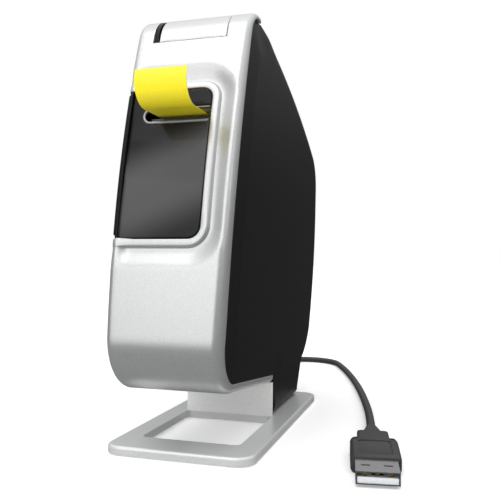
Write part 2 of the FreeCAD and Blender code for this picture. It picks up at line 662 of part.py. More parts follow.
# The plate follows the inside of the body at a safe distance: (across, up) from the lower front round.
CHASSIS_OUTLINE = [
    ("-43", "24"), ("46", "24"), ("50", "60"), ("50", "94"), ("42", "109"), ("0", "123"),
    ("-30", "127.5"), ("-38", "121"), ("-42.5", "100"), ("-46", "62")]
chassis = plate("chassis", "YZ", "chassis_left", "chassis_left + chassis_thick", [CHASSIS_OUTLINE])
pocket(chassis, "YZ", "chassis_left", "chassis_left + chassis_thick", [
    (f"{at[0]}", f"{at[1]}", radius) for at, radius in (
        (platen_at, "shaft_radius + running"), (takeup_at, "shaft_radius + running"),
        (front_idler_at, "stud_radius"), (rear_idler_at, "stud_radius"),
        (motor_at, "motor_boss"), (arm_at, "stud_radius"))], "shaft_holes")
pocket(chassis, "YZ", "chassis_left", "chassis_left + chassis_thick", [
    (y, z, "fixing_shank + 0.1") for y, z in CHASSIS_SCREWS], "fixing_holes")
keep(chassis)
keep(group("chassis_screws", *[
    fuse(f"chassis_screw_{i}",
         boss(f"chassis_head_{i}", y, z, "chassis_left - 1.1", "chassis_left", "fixing_head"),
         boss(f"chassis_shank_{i}", y, z, "chassis_left - 0.1", "half_foot - 1", "fixing_shank"))
    for i, (y, z) in enumerate(CHASSIS_SCREWS)]))


def across(name, at, start, stop, radius):
    """A round piece on a shaft's axis."""
    return rod(name, "x", start, stop, str(at[0]), str(at[1]), radius)


keep(group("gear_studs", *[
    fuse(f"{name}_stud",
         across(f"{name}_pin", at, "chassis_left", "gear_left + gear_thick + 0.5", "stud_radius"),
         across(f"{name}_flange", at, "chassis_left - 0.6", "chassis_left", "stud_radius + 0.8"))
    for name, at in (("front", front_idler_at), ("rear", rear_idler_at))]))


def gear(name, at, teeth, phase, bore):
    """A spur gear on a shaft along X: a disc, one tooth and its ring of copies, and a bore."""
    body = doc.addObject("PartDesign::Body", name)
    pitch = f"(tooth_module * {teeth} / 2)"
    root = f"({pitch} - 1.1 * tooth_module)"
    tip = f"({pitch} + 0.8 * tooth_module)"
    pad(body, "YZ", "gear_left", "gear_left + gear_thick", [("0", "0", root)], "disc")
    tooth = pad(body, "YZ", "gear_left", "gear_left + gear_thick", [[
        (f"{root} - 0.3", "-tooth_half - 0.4 * tooth_module"),
        (tip, "-tooth_half + 0.3 * tooth_module"), (tip, "tooth_half - 0.3 * tooth_module"),
        (f"{root} - 0.3", "tooth_half + 0.4 * tooth_module")]], "tooth")
    doc.recompute()
    ring = body.newObject("PartDesign::PolarPattern", f"{name}_teeth")
    ring.Originals = [tooth]
    ring.Axis = ([o for o in body.Origin.OriginFeatures if o.Role == "X_Axis"][0], [""])
    ring.Angle = 360
    bind(ring, "Occurrences", teeth)
    body.Tip = ring
    if bore:
        pocket(body, "YZ", "gear_left", "gear_left + gear_thick", [("0", "0", bore)], "bore")
    body.Placement = Placement(Vector(0, *at), Rotation(Vector(1, 0, 0), phase))
    return body


def meshing_phase(phase, teeth, at, next_teeth, next_at):
    """The turn that puts a gap of the next gear where this gear has a tooth."""
    line = math.degrees(math.atan2(next_at[1] - at[1], next_at[0] - at[0]))
    tooth_share = (line - phase) / 360 * teeth
    return line + 180 - (0.5 - tooth_share) * 360 / next_teeth


idler_count, platen_count, pinion_count = (size(f"{n}_teeth") for n in ("idler", "platen", "pinion"))
front_phase = meshing_phase(0, platen_count, platen_at, idler_count, front_idler_at)
takeup_phase = meshing_phase(front_phase, idler_count, front_idler_at, idler_count, takeup_at)
rear_phase = meshing_phase(takeup_phase, idler_count, takeup_at, idler_count, rear_idler_at)
motor_phase = meshing_phase(rear_phase, idler_count, rear_idler_at, pinion_count, motor_at)

keep(gear("platen_gear", platen_at, "platen_teeth", 0, "shaft_radius"))
keep(gear("front_idler_gear", front_idler_at, "idler_teeth", front_phase, "stud_radius + running"))
keep(gear("takeup_gear", takeup_at, "idler_teeth", takeup_phase, "shaft_radius"))
keep(gear("rear_idler_gear", rear_idler_at, "idler_teeth", rear_phase, "stud_radius + running"))
keep(gear("motor_pinion", motor_at, "pinion_teeth", motor_phase, "motor_shaft_radius"))

# Motor, platen roller and take-up spindle ----------------------------------------------------------

motor_can = fuse(
    "motor_can", across("can", motor_at, "chassis_left - motor_length", "chassis_left", "motor_radius"),
    across("motor_nose_disc", motor_at, "chassis_left", "chassis_left + motor_nose", "motor_boss"),
    across("can_rear", motor_at, "chassis_left - motor_length - motor_cap", "chassis_left - motor_length",
           "motor_boss"))
motor_flats = [
    block(f"motor_flat_{side}", "chassis_left - motor_length - 2", "chassis_left - 0.01",
          str(motor_at[0] - 10), str(motor_at[0] + 10), low, high)
    for side, low, high in (
        ("top", f"{motor_at[1]} + motor_flat", str(motor_at[1] + 10)),
        ("bottom", str(motor_at[1] - 10), f"{motor_at[1]} - motor_flat"))]
motor_bore = across("motor_bore", motor_at, "chassis_left - 2", "chassis_left + 2",
                    "motor_shaft_radius + running")
keep(cut("motor", motor_can, *motor_flats, motor_bore))
keep(across("motor_shaft", motor_at, "chassis_left - 1.9", "gear_left + gear_thick",
            "motor_shaft_radius"))
keep(across("platen_shaft", platen_at, "-platen_half - 2.6", "gear_left + gear_thick", "shaft_radius"))
keep(cut("platen_roller", across("roller", platen_at, "-platen_half", "platen_half", "platen_radius"),
         across("roller_bore", platen_at, "-platen_half - 1", "platen_half + 1", "shaft_radius")))
keep(cut("platen_bearing",
         block("bearing_block", "-platen_half - 2.8", "-platen_half - 0.7", "platen_across - bearing_front",
               "platen_across + bearing_rear", "platen_up - bearing_low", "platen_up + bearing_high"),
         across("bearing_bore", platen_at, "-platen_half - 3", "-platen_half", "shaft_radius + running")))
keep(cut("bearing_bridge",
         block("bridge_bar", "-platen_half - 2.8", "chassis_left", "platen_across + bridge_front",
               "platen_across + bridge_rear", "platen_up + bearing_high", "platen_up + bridge_high"),
         block("bridge_notch", "-platen_half", "platen_half", "platen_across + bridge_front - 1",
               "platen_across + bridge_rear + 1", "platen_up", "platen_up + bridge_high - 3")))
keep(across("takeup_spindle", takeup_at, "cassette_left + cassette_wall + 0.4",
            "gear_left + gear_thick", "shaft_radius"))

# Print head on its arm -----------------------------------------------------------------------------

# A leaning blade from the pin up to a seat for the head.
ARM_OUTLINE = [
    ("arm_across - 1.9", "arm_up"), ("arm_across + 1.6", "arm_up"), ("-34.4", "92"), ("-35.2", "101"),
    ("head_rear", "102"), ("head_rear", "head_top - head_thick"),
    ("head_front", "head_top - head_thick"), ("-38.2", "100"), ("-36.6", "92")]
arm_blank = plate("arm_blank", "YZ", "-arm_half", "arm_half", [ARM_OUTLINE])
arm_barrel = across("arm_barrel_solid", arm_at, "-arm_half", "arm_half", "arm_barrel")
keep(cut("head_arm", fuse("arm_solid", arm_blank, arm_barrel),
         across("arm_bore", arm_at, "-arm_half - 1", "arm_half + 1", "stud_radius + running")))
keep(across("arm_pin", arm_at, "-arm_half - 1.5", "chassis_left + chassis_thick", "stud_radius"))
keep(block("print_head", "-head_half", "head_half", "head_front", "head_rear",
           "head_top - head_thick", "head_top"))

# Cutter: the button's post pushes a carriage down, and springs lift it again -----------------------

keep(plate("tape_guide", "YZ", "-carriage_half", "carriage_half", [[
    ("guide_front", "guide_low"), ("guide_rear", "guide_low"), ("guide_rear", "spring_low"),
    ("gap_rear", "spring_low"), ("gap_rear", "gap_low"), ("gap_front", "gap_low"),
    ("gap_front", "spring_low"), ("guide_front", "spring_low")]]))
carriage_blank = plate("carriage_blank", "YZ", "-carriage_half", "carriage_half", [[
    ("carriage_front", "carriage_lip"), ("blade_front", "carriage_lip"), ("blade_front", "spring_high"),
    ("carriage_rear", "spring_high"), ("carriage_rear", "post_foot - 0.1"),
    ("carriage_step", "post_foot - 0.1"), ("carriage_step", "spring_high + carriage_deep"),
    ("carriage_front", "spring_high + carriage_deep")]])
carriage_sides = [
    block(f"carriage_trim_{i}", left, right, "blade_front + 0.05", "carriage_rear + 2.5",
          "spring_high + carriage_deep", "post_foot + 1")
    for i, (left, right) in enumerate((("-carriage_half - 1", "-6"), ("6", "carriage_half + 1")))]
keep(cut("blade_carriage", carriage_blank, *carriage_sides))
keep(block("cutter_blade", "-blade_half", "blade_half", "blade_front", "blade_rear", "blade_low",
           "blade_high"))


def spring_coil(name, left):
    """A compression spring standing on the tape guide."""
    coil = doc.addObject("Part::Helix", f"{name}_path")
    height = "(spring_high - spring_low - 2 * spring_wire)"
    bind(coil, "Pitch", f"{height} / 7")
    bind(coil, "Height", height)
    bind(coil, "Radius", "spring_radius")
    wire = doc.addObject("Sketcher::SketchObject", f"{name}_wire")
    wire.Placement = Placement(Vector(), PLANES["XZ"][2])
    draw_circle(wire, "spring_radius", "0", "spring_wire / 2")
    sweep = doc.addObject("Part::Sweep", name)
    sweep.Sections = [wire]
    sweep.Spine = (coil, [])
    sweep.Solid = True
    sweep.Frenet = True
    bind(sweep, "Placement.Base.x", left)
    bind(sweep, "Placement.Base.y", "carriage_spring")
    bind(sweep, "Placement.Base.z", "spring_low + spring_wire")
    return sweep


keep(group("blade_springs", spring_coil("left_spring", "-spring_half"),
           spring_coil("right_spring", "spring_half")))

# Tape: the cut label standing in the slot, and the tail behind the blade ---------------------------

curl_up = "(tape_low + curl_radius)"
curl_end_across = "curl_across - sqrt(curl_radius ^ 2 - curl_end_up ^ 2)"
inner = "(curl_radius - tape_thick)"
keep(plate("label_tape", "YZ", "-tape_half", "tape_half", [[
    ("cut_front", "tape_low"), ("cut_front", "tape_low + tape_thick"),
    ("curl_across", "tape_low + tape_thick", f"-{inner}"),
    (f"curl_across - sqrt({inner} ^ 2 - curl_end_up ^ 2)", f"{curl_up} + curl_end_up"),
    (curl_end_across, f"{curl_up} + curl_end_up", "curl_radius"),
    ("curl_across", "tape_low")]]))
keep(block("tape_tail", "-tape_half", "tape_half", "cut_rear", "mouth_across", "tape_low",
           "tape_low + tape_thick"))

# Cassette: two trays, the tape roll, and the ribbon's two spools -----------------------------------

tape_roll_at = (size("tape_roll_across"), size("tape_roll_up"))
ribbon_roll_at = (size("ribbon_roll_across"), size("ribbon_roll_up"))


def tray(name, start, stop, floor_low, floor_high):
    """Half of the cassette: a rim with a floor, bored for its three hubs."""
    body = plate(name, "YZ", start, stop, [rounded(
        "cassette_front", "cassette_low", "cassette_rear", "cassette_high", "cassette_corner")])
    inside = rounded("cassette_front + cassette_wall", "cassette_low + cassette_wall",
                     "cassette_rear - cassette_wall", "cassette_high - cassette_wall",
                     "(cassette_corner - cassette_wall)")
    hollow_low = start if floor_low == stop else floor_low
    hollow_high = stop if floor_high == start else floor_high
    pocket(body, "YZ", hollow_low, hollow_high, [inside], "inside")
    pocket(body, "YZ", start, stop, [
        (str(at[0]), str(at[1]), "hub_radius + 0.3")
        for at in (tape_roll_at, ribbon_roll_at, takeup_at)], "hubs")
    return body


lid = tray("cassette_lid", "cassette_left", "0", "cassette_left + cassette_wall", "0")
pocket(lid, "XZ", "cassette_front - 1", "cassette_front + cassette_wall + 1", [
    rectangle("-tape_half - 0.5", "mouth_low", "0", "mouth_high")], "mouth")
pocket(lid, "YZ", "cassette_left", "cassette_left + cassette_wall", [
    rounded("sight_front", "sight_low", "sight_rear", "sight_high", "2")], "sight_window")
keep(lid)
tray_right = tray("cassette_tray", "0", "cassette_right", "0", "cassette_right - cassette_wall")
pocket(tray_right, "XZ", "cassette_front - 1", "cassette_front + cassette_wall + 1", [
    rectangle("0", "mouth_low", "tape_half + 0.5", "mouth_high")], "mouth")
keep(tray_right)


def spool(name, at, roll, bore):
    """Tape or ribbon wound on a hub whose ends turn in the trays."""
    wound = across(f"{name}_wound", at, "-tape_half", "tape_half", roll)
    hub = across(f"{name}_hub", at, "cassette_left + 0.1", "cassette_right - 0.1", "hub_radius")
    return cut(name, fuse(f"{name}_solid", wound, hub),
               across(f"{name}_bore", at, "cassette_left - 1", "cassette_right + 1", bore))


keep(spool("tape_spool", tape_roll_at, "tape_roll", "hub_bore"))
keep(spool("ribbon_spool", ribbon_roll_at, "ribbon_roll", "hub_bore"))
keep(spool("takeup_spool", takeup_at, "takeup_roll", "shaft_radius"))

# Battery, board and the parts on it ----------------------------------------------------------------

battery = plate("battery_pack", "XY", "battery_low + 1", "battery_high - 1", [
    rounded("battery_left", "battery_front", "battery_right", "battery_rear", "3")])
keep(battery)
board = plate("main_board", "YZ", "board_left", "board_left + board_thick", [
    rounded("board_front", "board_low", "board_rear", "board_high", "2")])
keep(board)
# Front, rear, low, high and height of each part on the board.
CHIPS = (("-30", "30", "40", "50", "1.2"), ("-6", "4", "44", "54", "1.0"), ("14", "22", "30", "36", "1.4"),
         ("-38", "-34", "52", "58", "2.0"), ("28", "34", "44", "56", "1.8"))
keep(group("board_chips", *[
    block(f"chip_{i}", "board_left + board_thick", f"board_left + board_thick + {tall}",
          front, rear, low, high)
    for i, (front, rear, low, high, tall) in enumerate(CHIPS)]))

# Lead: a strain relief in the heel of the foot, the cord on the table, and its plug ----------------

relief_cone = doc.addObject("Part::Cone", "relief_cone")
relief_cone.Placement = Placement(Vector(), Rotation(Vector(1, 0, 0), -90))
for prop, expression in (
        ("Radius1", "relief_wide"), ("Radius2", "relief_thin"), ("Height", "relief_rear - relief_front"),
        ("Placement.Base.x", "lead_left"), ("Placement.Base.y", "relief_front"),
        ("Placement.Base.z", "lead_up")):
    bind(relief_cone, prop, expression)
relief_neck = rod("relief_neck_rod", "y", "relief_neck", "relief_front", "lead_left", "lead_up",
                  "relief_wide - 0.8")
keep(fuse("cord_relief", relief_neck, relief_cone))

# The route lies on the table behind the machine, turns right and comes forward to the plug.
FLOOR = 1.6
ENTRY = 1.9
ROUTE = [
    (size("lead_left"), size("relief_rear"), size("lead_up")),
    (-6.4, 66, 9.0), (-8.2, 78, 5.2), (-11.6, 91, 2.0), (-15.2, 105, FLOOR), (-17.6, 119.5, FLOOR),
    (-16, 134.2, FLOOR), (-6.8, 143.2, FLOOR), (6, 145, FLOOR), (17, 138.5, FLOOR),
    (22.5, 124.5, FLOOR), (28.8, 105.5, FLOOR), (35.2, 83, FLOOR), (41.2, 58.5, FLOOR),
    (46.4, 33.5, FLOOR), (50.2, 12, ENTRY),
    (size("plug_left"), size("plug_across"), size("plug_high / 2")),
]


def tube_path(route):
    """Straight runs joined by tangent arcs, each as large as its two runs allow."""
    points = [Vector(*place) for place in route]
    edges = []
    radii = []
    here = points[0]
    for before, corner, after in zip(points, points[1:], points[2:]):
        back, ahead = before - corner, after - corner
        half_turn = (math.pi - back.getAngle(ahead)) / 2
        reach = 0.45 * min(back.Length, ahead.Length)
        radius = reach / math.tan(half_turn)
        start = corner + back.normalize() * reach
        stop = corner + ahead.normalize() * reach
        middle_way = (back + ahead).normalize()
        middle = corner + middle_way * (radius / math.cos(half_turn) - radius)
        edges += [Part.LineSegment(here, start).toShape(), Part.Arc(start, middle, stop).toShape()]
        radii.append(radius)
        here = stop
    edges.append(Part.LineSegment(here, points[-1]).toShape())
    return Part.Wire(edges), radii


lead_wire, lead_radii = tube_path(ROUTE)
lead_start = Vector(*ROUTE[1]) - Vector(*ROUTE[0])
lead_section = Part.Wire([Part.Circle(Vector(*ROUTE[0]), lead_start, size("lead_radius")).toShape()])
lead = doc.addObject("Part::Feature", "usb_cord")
lead.Shape = lead_wire.makePipeShell([lead_section], True, True)
lead_ideal = math.pi * size("lead_radius") ** 2 * lead_wire.Length
print("cord radii", [round(radius, 1) for radius in lead_radii])
print("cord length", round(lead_wire.Length, 1), "volume against section by length",
      round(lead.Shape.Volume / lead_ideal, 4))
keep(lead)


def plug_place(thing):
    """Stand a piece, drawn along the plug's own axis, where the plug lies."""
    thing.Placement = Placement(Vector(), Rotation(Vector(0, 0, 1), size("plug_turn")))
    bind(thing, "Placement.Base.x", "plug_left")
    bind(thing, "Placement.Base.y", "plug_across")
    return keep(thing)


mould = plate("plug_overmold", "XY", "0", "plug_high", [
    rounded("-plug_half", "-mould_front", "plug_half", "-mould_rear", "1.4")])
pad(mould, "XY", "0.4", "plug_high - 0.4", [
    rounded("-step_half", "-mould_rear - 1", "step_half", "-step_rear", "0.7")], "step")
pad(mould, "XY", "plug_high / 2 - 1.6", "plug_high / 2 + 1.6", [[
    ("-3", "-step_rear - 1"), ("3", "-step_rear - 1"), ("3", "-step_rear + 1"), ("1.7", "0"),
    ("-1.7", "0"), ("-3", "-step_rear + 1")]], "neck")
pocket(mould, "XZ", "-mould_front", "-mould_front + socket_deep", [
    rectangle("-shell_half", "shell_low", "shell_half", "shell_high")], "socket")
pocket(mould, "XY", "plug_high - thumb_deep", "plug_high", [
    rounded("-plug_half + 2.6", "-mould_front + 2.5", "plug_half - 2.6", "-mould_rear - 3", "1")],
       "thumb_rest")
plug_place(mould)
can = plate("plug_shell", "XZ", "-shell_front", "-mould_front + socket_deep", [
    rectangle("-shell_half", "shell_low", "shell_half", "shell_high"),
    rectangle("-shell_half + shell_wall", "shell_low + shell_wall", "shell_half - shell_wall",
              "shell_high - shell_wall")])
pocket(can, "XY", "shell_high - shell_wall", "shell_high", [
    rectangle("-catch_outer", "-mould_front - catch_front", "-catch_inner", "-mould_front - catch_rear"),
    rectangle("catch_inner", "-mould_front - catch_front", "catch_outer", "-mould_front - catch_rear")],
       "catches")
plug_place(can)
plug_place(plate("plug_tongue", "XZ", "-shell_front + 0.4", "-mould_front + socket_deep", [
    rectangle("-shell_half + shell_wall + 0.1", "shell_low + shell_wall", "shell_half - shell_wall - 0.1",
              "shell_low + tongue_high")]))
contacts = [
    plate(f"contact_{i}", "XZ", f"-shell_front + {back}", "-mould_front + 2", [
        rectangle(f"{centre} - contact_half", "shell_low + tongue_high", f"{centre} + contact_half",
                  "shell_low + tongue_high + contact_thick")])
    for i, (centre, back) in enumerate((("-3.5", "0.8"), ("-1.1", "1.6"), ("1.1", "1.6"), ("3.5", "0.8")))]
plug_place(group("plug_contacts", *contacts))

# Check every object, then write the parts ----------------------------------------------------------

doc.recompute()
for thing in doc.Objects:
    if "Invalid" in thing.State or "Error" in thing.State:
        raise RuntimeError(f"{thing.Label} failed: {thing.State}")
for thing in pieces:
    if thing.Shape.isNull() or not thing.Shape.isValid():
        raise RuntimeError(f"{thing.Label} has no valid shape")
os.makedirs("parts", exist_ok=True)
for thing in pieces:
    thing.Shape.exportStep(f"parts/{thing.Label}.step")
print(len(pieces), "parts written")
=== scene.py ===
import math
from contextlib import contextmanager

import bmesh
import bpy
import numpy as np
from mathutils import Matrix, Vector
from mathutils.geometry import delaunay_2d_cdt


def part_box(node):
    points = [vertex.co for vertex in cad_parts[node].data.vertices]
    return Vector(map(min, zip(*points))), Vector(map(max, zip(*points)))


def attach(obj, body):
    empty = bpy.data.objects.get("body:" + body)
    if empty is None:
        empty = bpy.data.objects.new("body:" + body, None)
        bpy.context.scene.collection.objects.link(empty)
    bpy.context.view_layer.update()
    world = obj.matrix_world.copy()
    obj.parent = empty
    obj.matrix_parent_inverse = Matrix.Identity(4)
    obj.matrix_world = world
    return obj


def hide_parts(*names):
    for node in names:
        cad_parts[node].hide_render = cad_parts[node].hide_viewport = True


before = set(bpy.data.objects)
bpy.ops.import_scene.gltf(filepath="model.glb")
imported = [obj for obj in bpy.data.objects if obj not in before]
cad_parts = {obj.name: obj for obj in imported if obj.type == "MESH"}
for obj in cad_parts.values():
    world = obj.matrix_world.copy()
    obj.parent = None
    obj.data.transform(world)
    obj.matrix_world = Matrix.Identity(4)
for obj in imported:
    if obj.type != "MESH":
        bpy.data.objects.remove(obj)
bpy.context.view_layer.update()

# --- Camera ---
# A normal lens close to the machine, a little below its middle and to the right of its front.

MM = 0.001


def placed(name, data):
    """A new object in the scene."""
    thing = bpy.data.objects.new(name, data)
    bpy.context.scene.collection.objects.link(thing)
    return thing


yaw, pitch, roll = (math.radians(angle) for angle in (16.599, 0.870, 0.411))
ahead = Vector((-math.sin(yaw) * math.cos(pitch), math.cos(yaw) * math.cos(pitch), math.sin(pitch)))
level = Vector((math.cos(yaw), math.sin(yaw), 0))
above = level.cross(ahead)
right = math.cos(roll) * level + math.sin(roll) * above
up = math.cos(roll) * above - math.sin(roll) * level
lens = bpy.data.cameras.new("camera")
lens.lens = 46.96
lens.clip_start = 0.01
camera = placed("camera", lens)
camera.matrix_world = Matrix((right, up, -ahead)).transposed().to_4x4()
camera.location = Vector((76.9, -236.8, 60.2)) * MM
bpy.context.scene.camera = camera

# --- Cord ---
# A 3 mm PVC lead. It leaves the heel, lies in one bend on the table behind the machine and comes
# forward to its plug. The skin is soft, satin and very slightly pebbled.


def tone(code):
    """An sRGB hex colour as linear RGBA."""
    parts = [int(code[i:i + 2], 16) / 255 for i in (1, 3, 5)]
    return [p / 12.92 if p <= 0.04045 else ((p + 0.055) / 1.055) ** 2.4 for p in parts] + [1.0]


def add(tree, kind, wires=(), **settings):
    """A node with its settings, and its inputs as values or as the sockets that feed them."""
    node = tree.nodes.new(kind)
    for name, value in settings.items():
        setattr(node, name, value)
    for name, value in dict(wires).items():
        if isinstance(value, bpy.types.NodeSocket):
            tree.links.new(value, node.inputs[name])
        else:
            node.inputs[name].default_value = value
    return node


def start_material(name, **constants):
    """A new material, its tree, its shader with constant inputs, and Object coordinates."""
    material = bpy.data.materials.new(name)
    material.use_nodes = True
    tree = material.node_tree
    shader = tree.nodes["Principled BSDF"]
    for socket, value in constants.items():
        shader.inputs[socket.replace("_", " ")].default_value = value
    return material, tree, shader, add(tree, "ShaderNodeTexCoord").outputs["Object"]


def shaded(tree, factor, *stops):
    """A node that turns a factor into a colour. A stop is a position and an sRGB hex colour."""
    node = add(tree, "ShaderNodeValToRGB", {"Fac": factor})
    elements = node.color_ramp.elements
    for i, (position, code) in ((0, stops[0]), (1, stops[-1])):
        elements[i].position = position
        elements[i].color = tone(code)
    for position, code in stops[1:-1]:
        elements.new(position).color = tone(code)
    return node


def grained(name, dark, light, grain, relief, stretch=(1, 1, 1), **constants):
    """A material with a fine grain, in mm, that shows in its colour, its gloss and its relief."""
    material, tree, shader, place = start_material(name, **constants)
    stretched = add(tree, "ShaderNodeMapping", {"Vector": place, "Scale": stretch})
    noise = add(tree, "ShaderNodeTexNoise", {
        "Vector": stretched.outputs["Vector"], "Scale": 1 / (grain * MM), "Detail": 3.0, "Roughness": 0.6})
    ramp = shaded(tree, noise.outputs["Fac"], (0.32, dark), (0.68, light))
    tree.links.new(ramp.outputs["Color"], shader.inputs["Base Color"])
    base = shader.inputs["Roughness"].default_value
    gloss = add(tree, "ShaderNodeMapRange", {
        "Value": noise.outputs["Fac"], "To Min": max(base - 0.05, 0.02), "To Max": min(base + 0.05, 1)})
    tree.links.new(gloss.outputs["Result"], shader.inputs["Roughness"])
    bump = add(tree, "ShaderNodeBump", {
        "Height": noise.outputs["Fac"], "Strength": 0.6, "Distance": relief * MM})
    tree.links.new(bump.outputs["Normal"], shader.inputs["Normal"])
    return material


def paint(thing, *materials):
    """Give a piece its materials in place of what it had."""
    thing.data.materials.clear()
    for material in materials:
        thing.data.materials.append(material)


def tube(name, kind, places, radius, roundness):
    """A round tube through places in metres, and the spline inside it."""
    line = bpy.data.curves.new(name, "CURVE")
    line.dimensions = "3D"
    line.bevel_depth = radius * MM
    line.bevel_resolution = roundness
    line.use_fill_caps = True
    run = line.splines.new(kind)
    run.points.add(len(places) - 1)
    for point, place in zip(run.points, places):
        point.co = (*place, 1)
    return placed(name, line), run


def coat(material, *names):
    """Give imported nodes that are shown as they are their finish."""
    for name in names:
        paint(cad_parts[name], material)


flexible_pvc = grained("flexible_pvc", "#2C2C2E", "#38383A", 0.5, 0.02, Roughness=0.5)
FLOOR = 1.6
ROUTE = [
    (-6, 56, 10), (-6.4, 66, 9.0), (-8.2, 78, 5.2), (-11.6, 91, 2.0), (-15.2, 105, FLOOR),
    (-17.6, 119.5, FLOOR), (-16, 134.2, FLOOR), (-6.8, 143.2, FLOOR), (6, 145, FLOOR),
    (17, 138.5, FLOOR), (22.5, 124.5, FLOOR), (28.8, 105.5, FLOOR), (35.2, 83, FLOOR),
    (41.2, 58.5, FLOOR), (46.4, 33.5, FLOOR), (50.2, 12, 1.9), (52.8, -8, 2.6),
]
CORD_WIDTH = 3
cord, spline = tube("usb_lead", "NURBS", [Vector(place) * MM for place in ROUTE], CORD_WIDTH / 2, 6)
spline.order_u = 3
spline.use_endpoint_u = True
spline.resolution_u = 12
paint(cord, flexible_pvc)
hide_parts("usb_cord")
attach(cord, "body")

# --- Plug: moulded grip ---
# Soft PVC moulded round a USB type A plug: a broad grip with a sunk panel on both faces and finger
# dents in its rear shoulders, a narrower step behind it, and a taper on to the lead.


def new_piece(name, mesh, body, slot, *materials):
    """A finished mesh as a piece on a body, with its finish."""
    thing = placed(name, mesh)
    paint(thing, *materials)
    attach(thing, body)
    return thing


def mesh_of(name, places, faces):
    """A mesh from places in metres and faces of their numbers."""
    mesh = bpy.data.meshes.new(name)
    mesh.from_pydata(places, [], [tuple(face) for face in faces])
    return mesh


def shown(thing):
    """A new mesh of an object as it shows, modifiers included."""
    bpy.context.view_layer.update()
    return bpy.data.meshes.new_from_object(thing.evaluated_get(bpy.context.evaluated_depsgraph_get()))


def settled(thing):
    """The piece's mesh with its modifiers made real and the modifiers gone."""
    mesh = shown(thing)
    thing.modifiers.clear()
    old = thing.data
    thing.data = mesh
    mesh.name = thing.name
    if not old.users:
        bpy.data.meshes.remove(old)
    return mesh


def smooth(mesh, angle=35):
    """Smooth shading, with the edges sharper than the angle kept crisp."""
    mesh.shade_smooth()
    mesh.set_sharp_from_angle(angle=math.radians(angle))


def ring_of(half_x, half_z, corner, steps=5):
    """A rounded rectangle about the origin, as (x, z) points going round."""
    points = []
    for quarter in range(4):
        way_x, way_z = ((1, 1), (-1, 1), (-1, -1), (1, -1))[quarter]
        for i in range(steps + 1):
            angle = math.radians(90 * quarter + 90 * i / steps)
            points.append((way_x * (half_x - corner) + corner * math.cos(angle),
                           way_z * (half_z - corner) + corner * math.sin(angle)))
    return points


@contextmanager
def editing(mesh):
    """A mesh's faces open for editing, written back at the end."""
    bm = bmesh.new()
    bm.from_mesh(mesh)
    yield bm
    bm.to_mesh(mesh)
    bm.free()


def loft(bm, rings):
    """Skin through rings of equal count, closed at both ends. Each ring is a list of 3-D points."""
    rows = [[bm.verts.new(point) for point in ring] for ring in rings]
    for row, following in zip(rows, rows[1:]):
        for i, vert in enumerate(row):
            j = (i + 1) % len(row)
            bm.faces.new((vert, row[j], following[j], following[i]))
    bm.faces.new(list(reversed(rows[0])))
    bm.faces.new(rows[-1])


plug_turn = Matrix.Translation(Vector((52.8, -8, 0)) * MM) @ Matrix.Rotation(math.radians(8), 4, "Z")
plug_middle = 2.6
# Along the plug: distance in front of the lead's end, half width, half height, corner.
GRIP = (
    (-0.3, 1.6, 1.5, 1.45), (3.5, 2.1, 1.65, 1.2), (8.0, 2.7, 1.8, 1.0), (10.6, 3.0, 1.9, 0.9),
    (11.6, 3.4, 2.0, 0.9), (12.0, 4.6, 2.15, 0.8), (12.5, 5.0, 2.2, 0.8), (20.6, 5.1, 2.25, 0.8),
    (21.3, 5.4, 2.3, 0.8), (21.8, 6.5, 2.45, 0.9), (22.5, 7.0, 2.6, 1.1), (24.0, 7.3, 2.6, 1.2),
    (32.0, 7.3, 2.6, 1.2), (40.6, 7.2, 2.6, 1.2), (41.8, 7.0, 2.55, 1.2), (42.4, 6.6, 2.3, 1.1),
)
grip_mesh = bpy.data.meshes.new("plug_grip")
with editing(grip_mesh) as bm:
    loft(bm, [
        [Vector((x, -along, z + plug_middle)) * MM for x, z in ring_of(half_x, half_z, corner)]
        for along, half_x, half_z, corner in GRIP])
grip_blank = placed("plug_grip_blank", grip_mesh)


def bar(bm, middle, halves, corner):
    """A block with rounded upright edges: middle and half sizes in mm."""
    outline = ring_of(halves[0], halves[1], corner, 3)
    loft(bm, [[Vector((middle[0] + x, middle[1] + y, middle[2] + z)) * MM for x, y in outline]
              for z in (-halves[2], halves[2])])


SUNK_PANEL = (4.9, 7.2, 0.35)
FINGER_DENT = (0.55, 0.9, 0.6)
cutter_mesh = bpy.data.meshes.new("grip_cutter")
with editing(cutter_mesh) as bm:
    for lift in (plug_middle + 2.6, plug_middle - 2.6):
        bar(bm, (0, -32.4, lift), SUNK_PANEL, 1.2)
        for side in (-1, 1):
            bar(bm, (side * 5.6, -23.6, lift), FINGER_DENT, 0.4)
grip_cutter = placed("grip_cutter", cutter_mesh)
carve = grip_blank.modifiers.new("sunk_panels", "BOOLEAN")
carve.operation = "DIFFERENCE"
carve.object = grip_cutter
carve.solver = "EXACT"
soft = grip_blank.modifiers.new("soft_edges", "BEVEL")
soft.width = 0.18 * MM
soft.segments = 2
soft.limit_method = "ANGLE"
soft.angle_limit = math.radians(40)
grip = shown(grip_blank)
grip.transform(plug_turn)
smooth(grip)
for helper in (grip_blank, grip_cutter):
    bpy.data.objects.remove(helper)
plug_grip = new_piece("plug_grip", grip, "body", "cord_black", flexible_pvc)
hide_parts("plug_overmold")

# --- Plug: steel shell, tongue and contacts ---
# Nickel-plated folded steel round a white LCP tongue with four gold-plated contacts.

plated_steel = grained("nickel_plated_steel", "#B9BBBE", "#E4E5E7", 0.4, 0.004, (4, 0.4, 4),
                       Metallic=1.0, Roughness=0.24)
white_lcp = grained("white_lcp_plastic", "#D5D9DE", "#E6E9EC", 0.5, 0.01, Roughness=0.4)
gold_plate = grained("gold_plate", "#C99A3C", "#E8C470", 0.3, 0.004, (3, 0.5, 3),
                     Metallic=1.0, Roughness=0.25)
coat(plated_steel, "plug_shell")
coat(white_lcp, "plug_tongue")
coat(gold_plate, "plug_contacts")

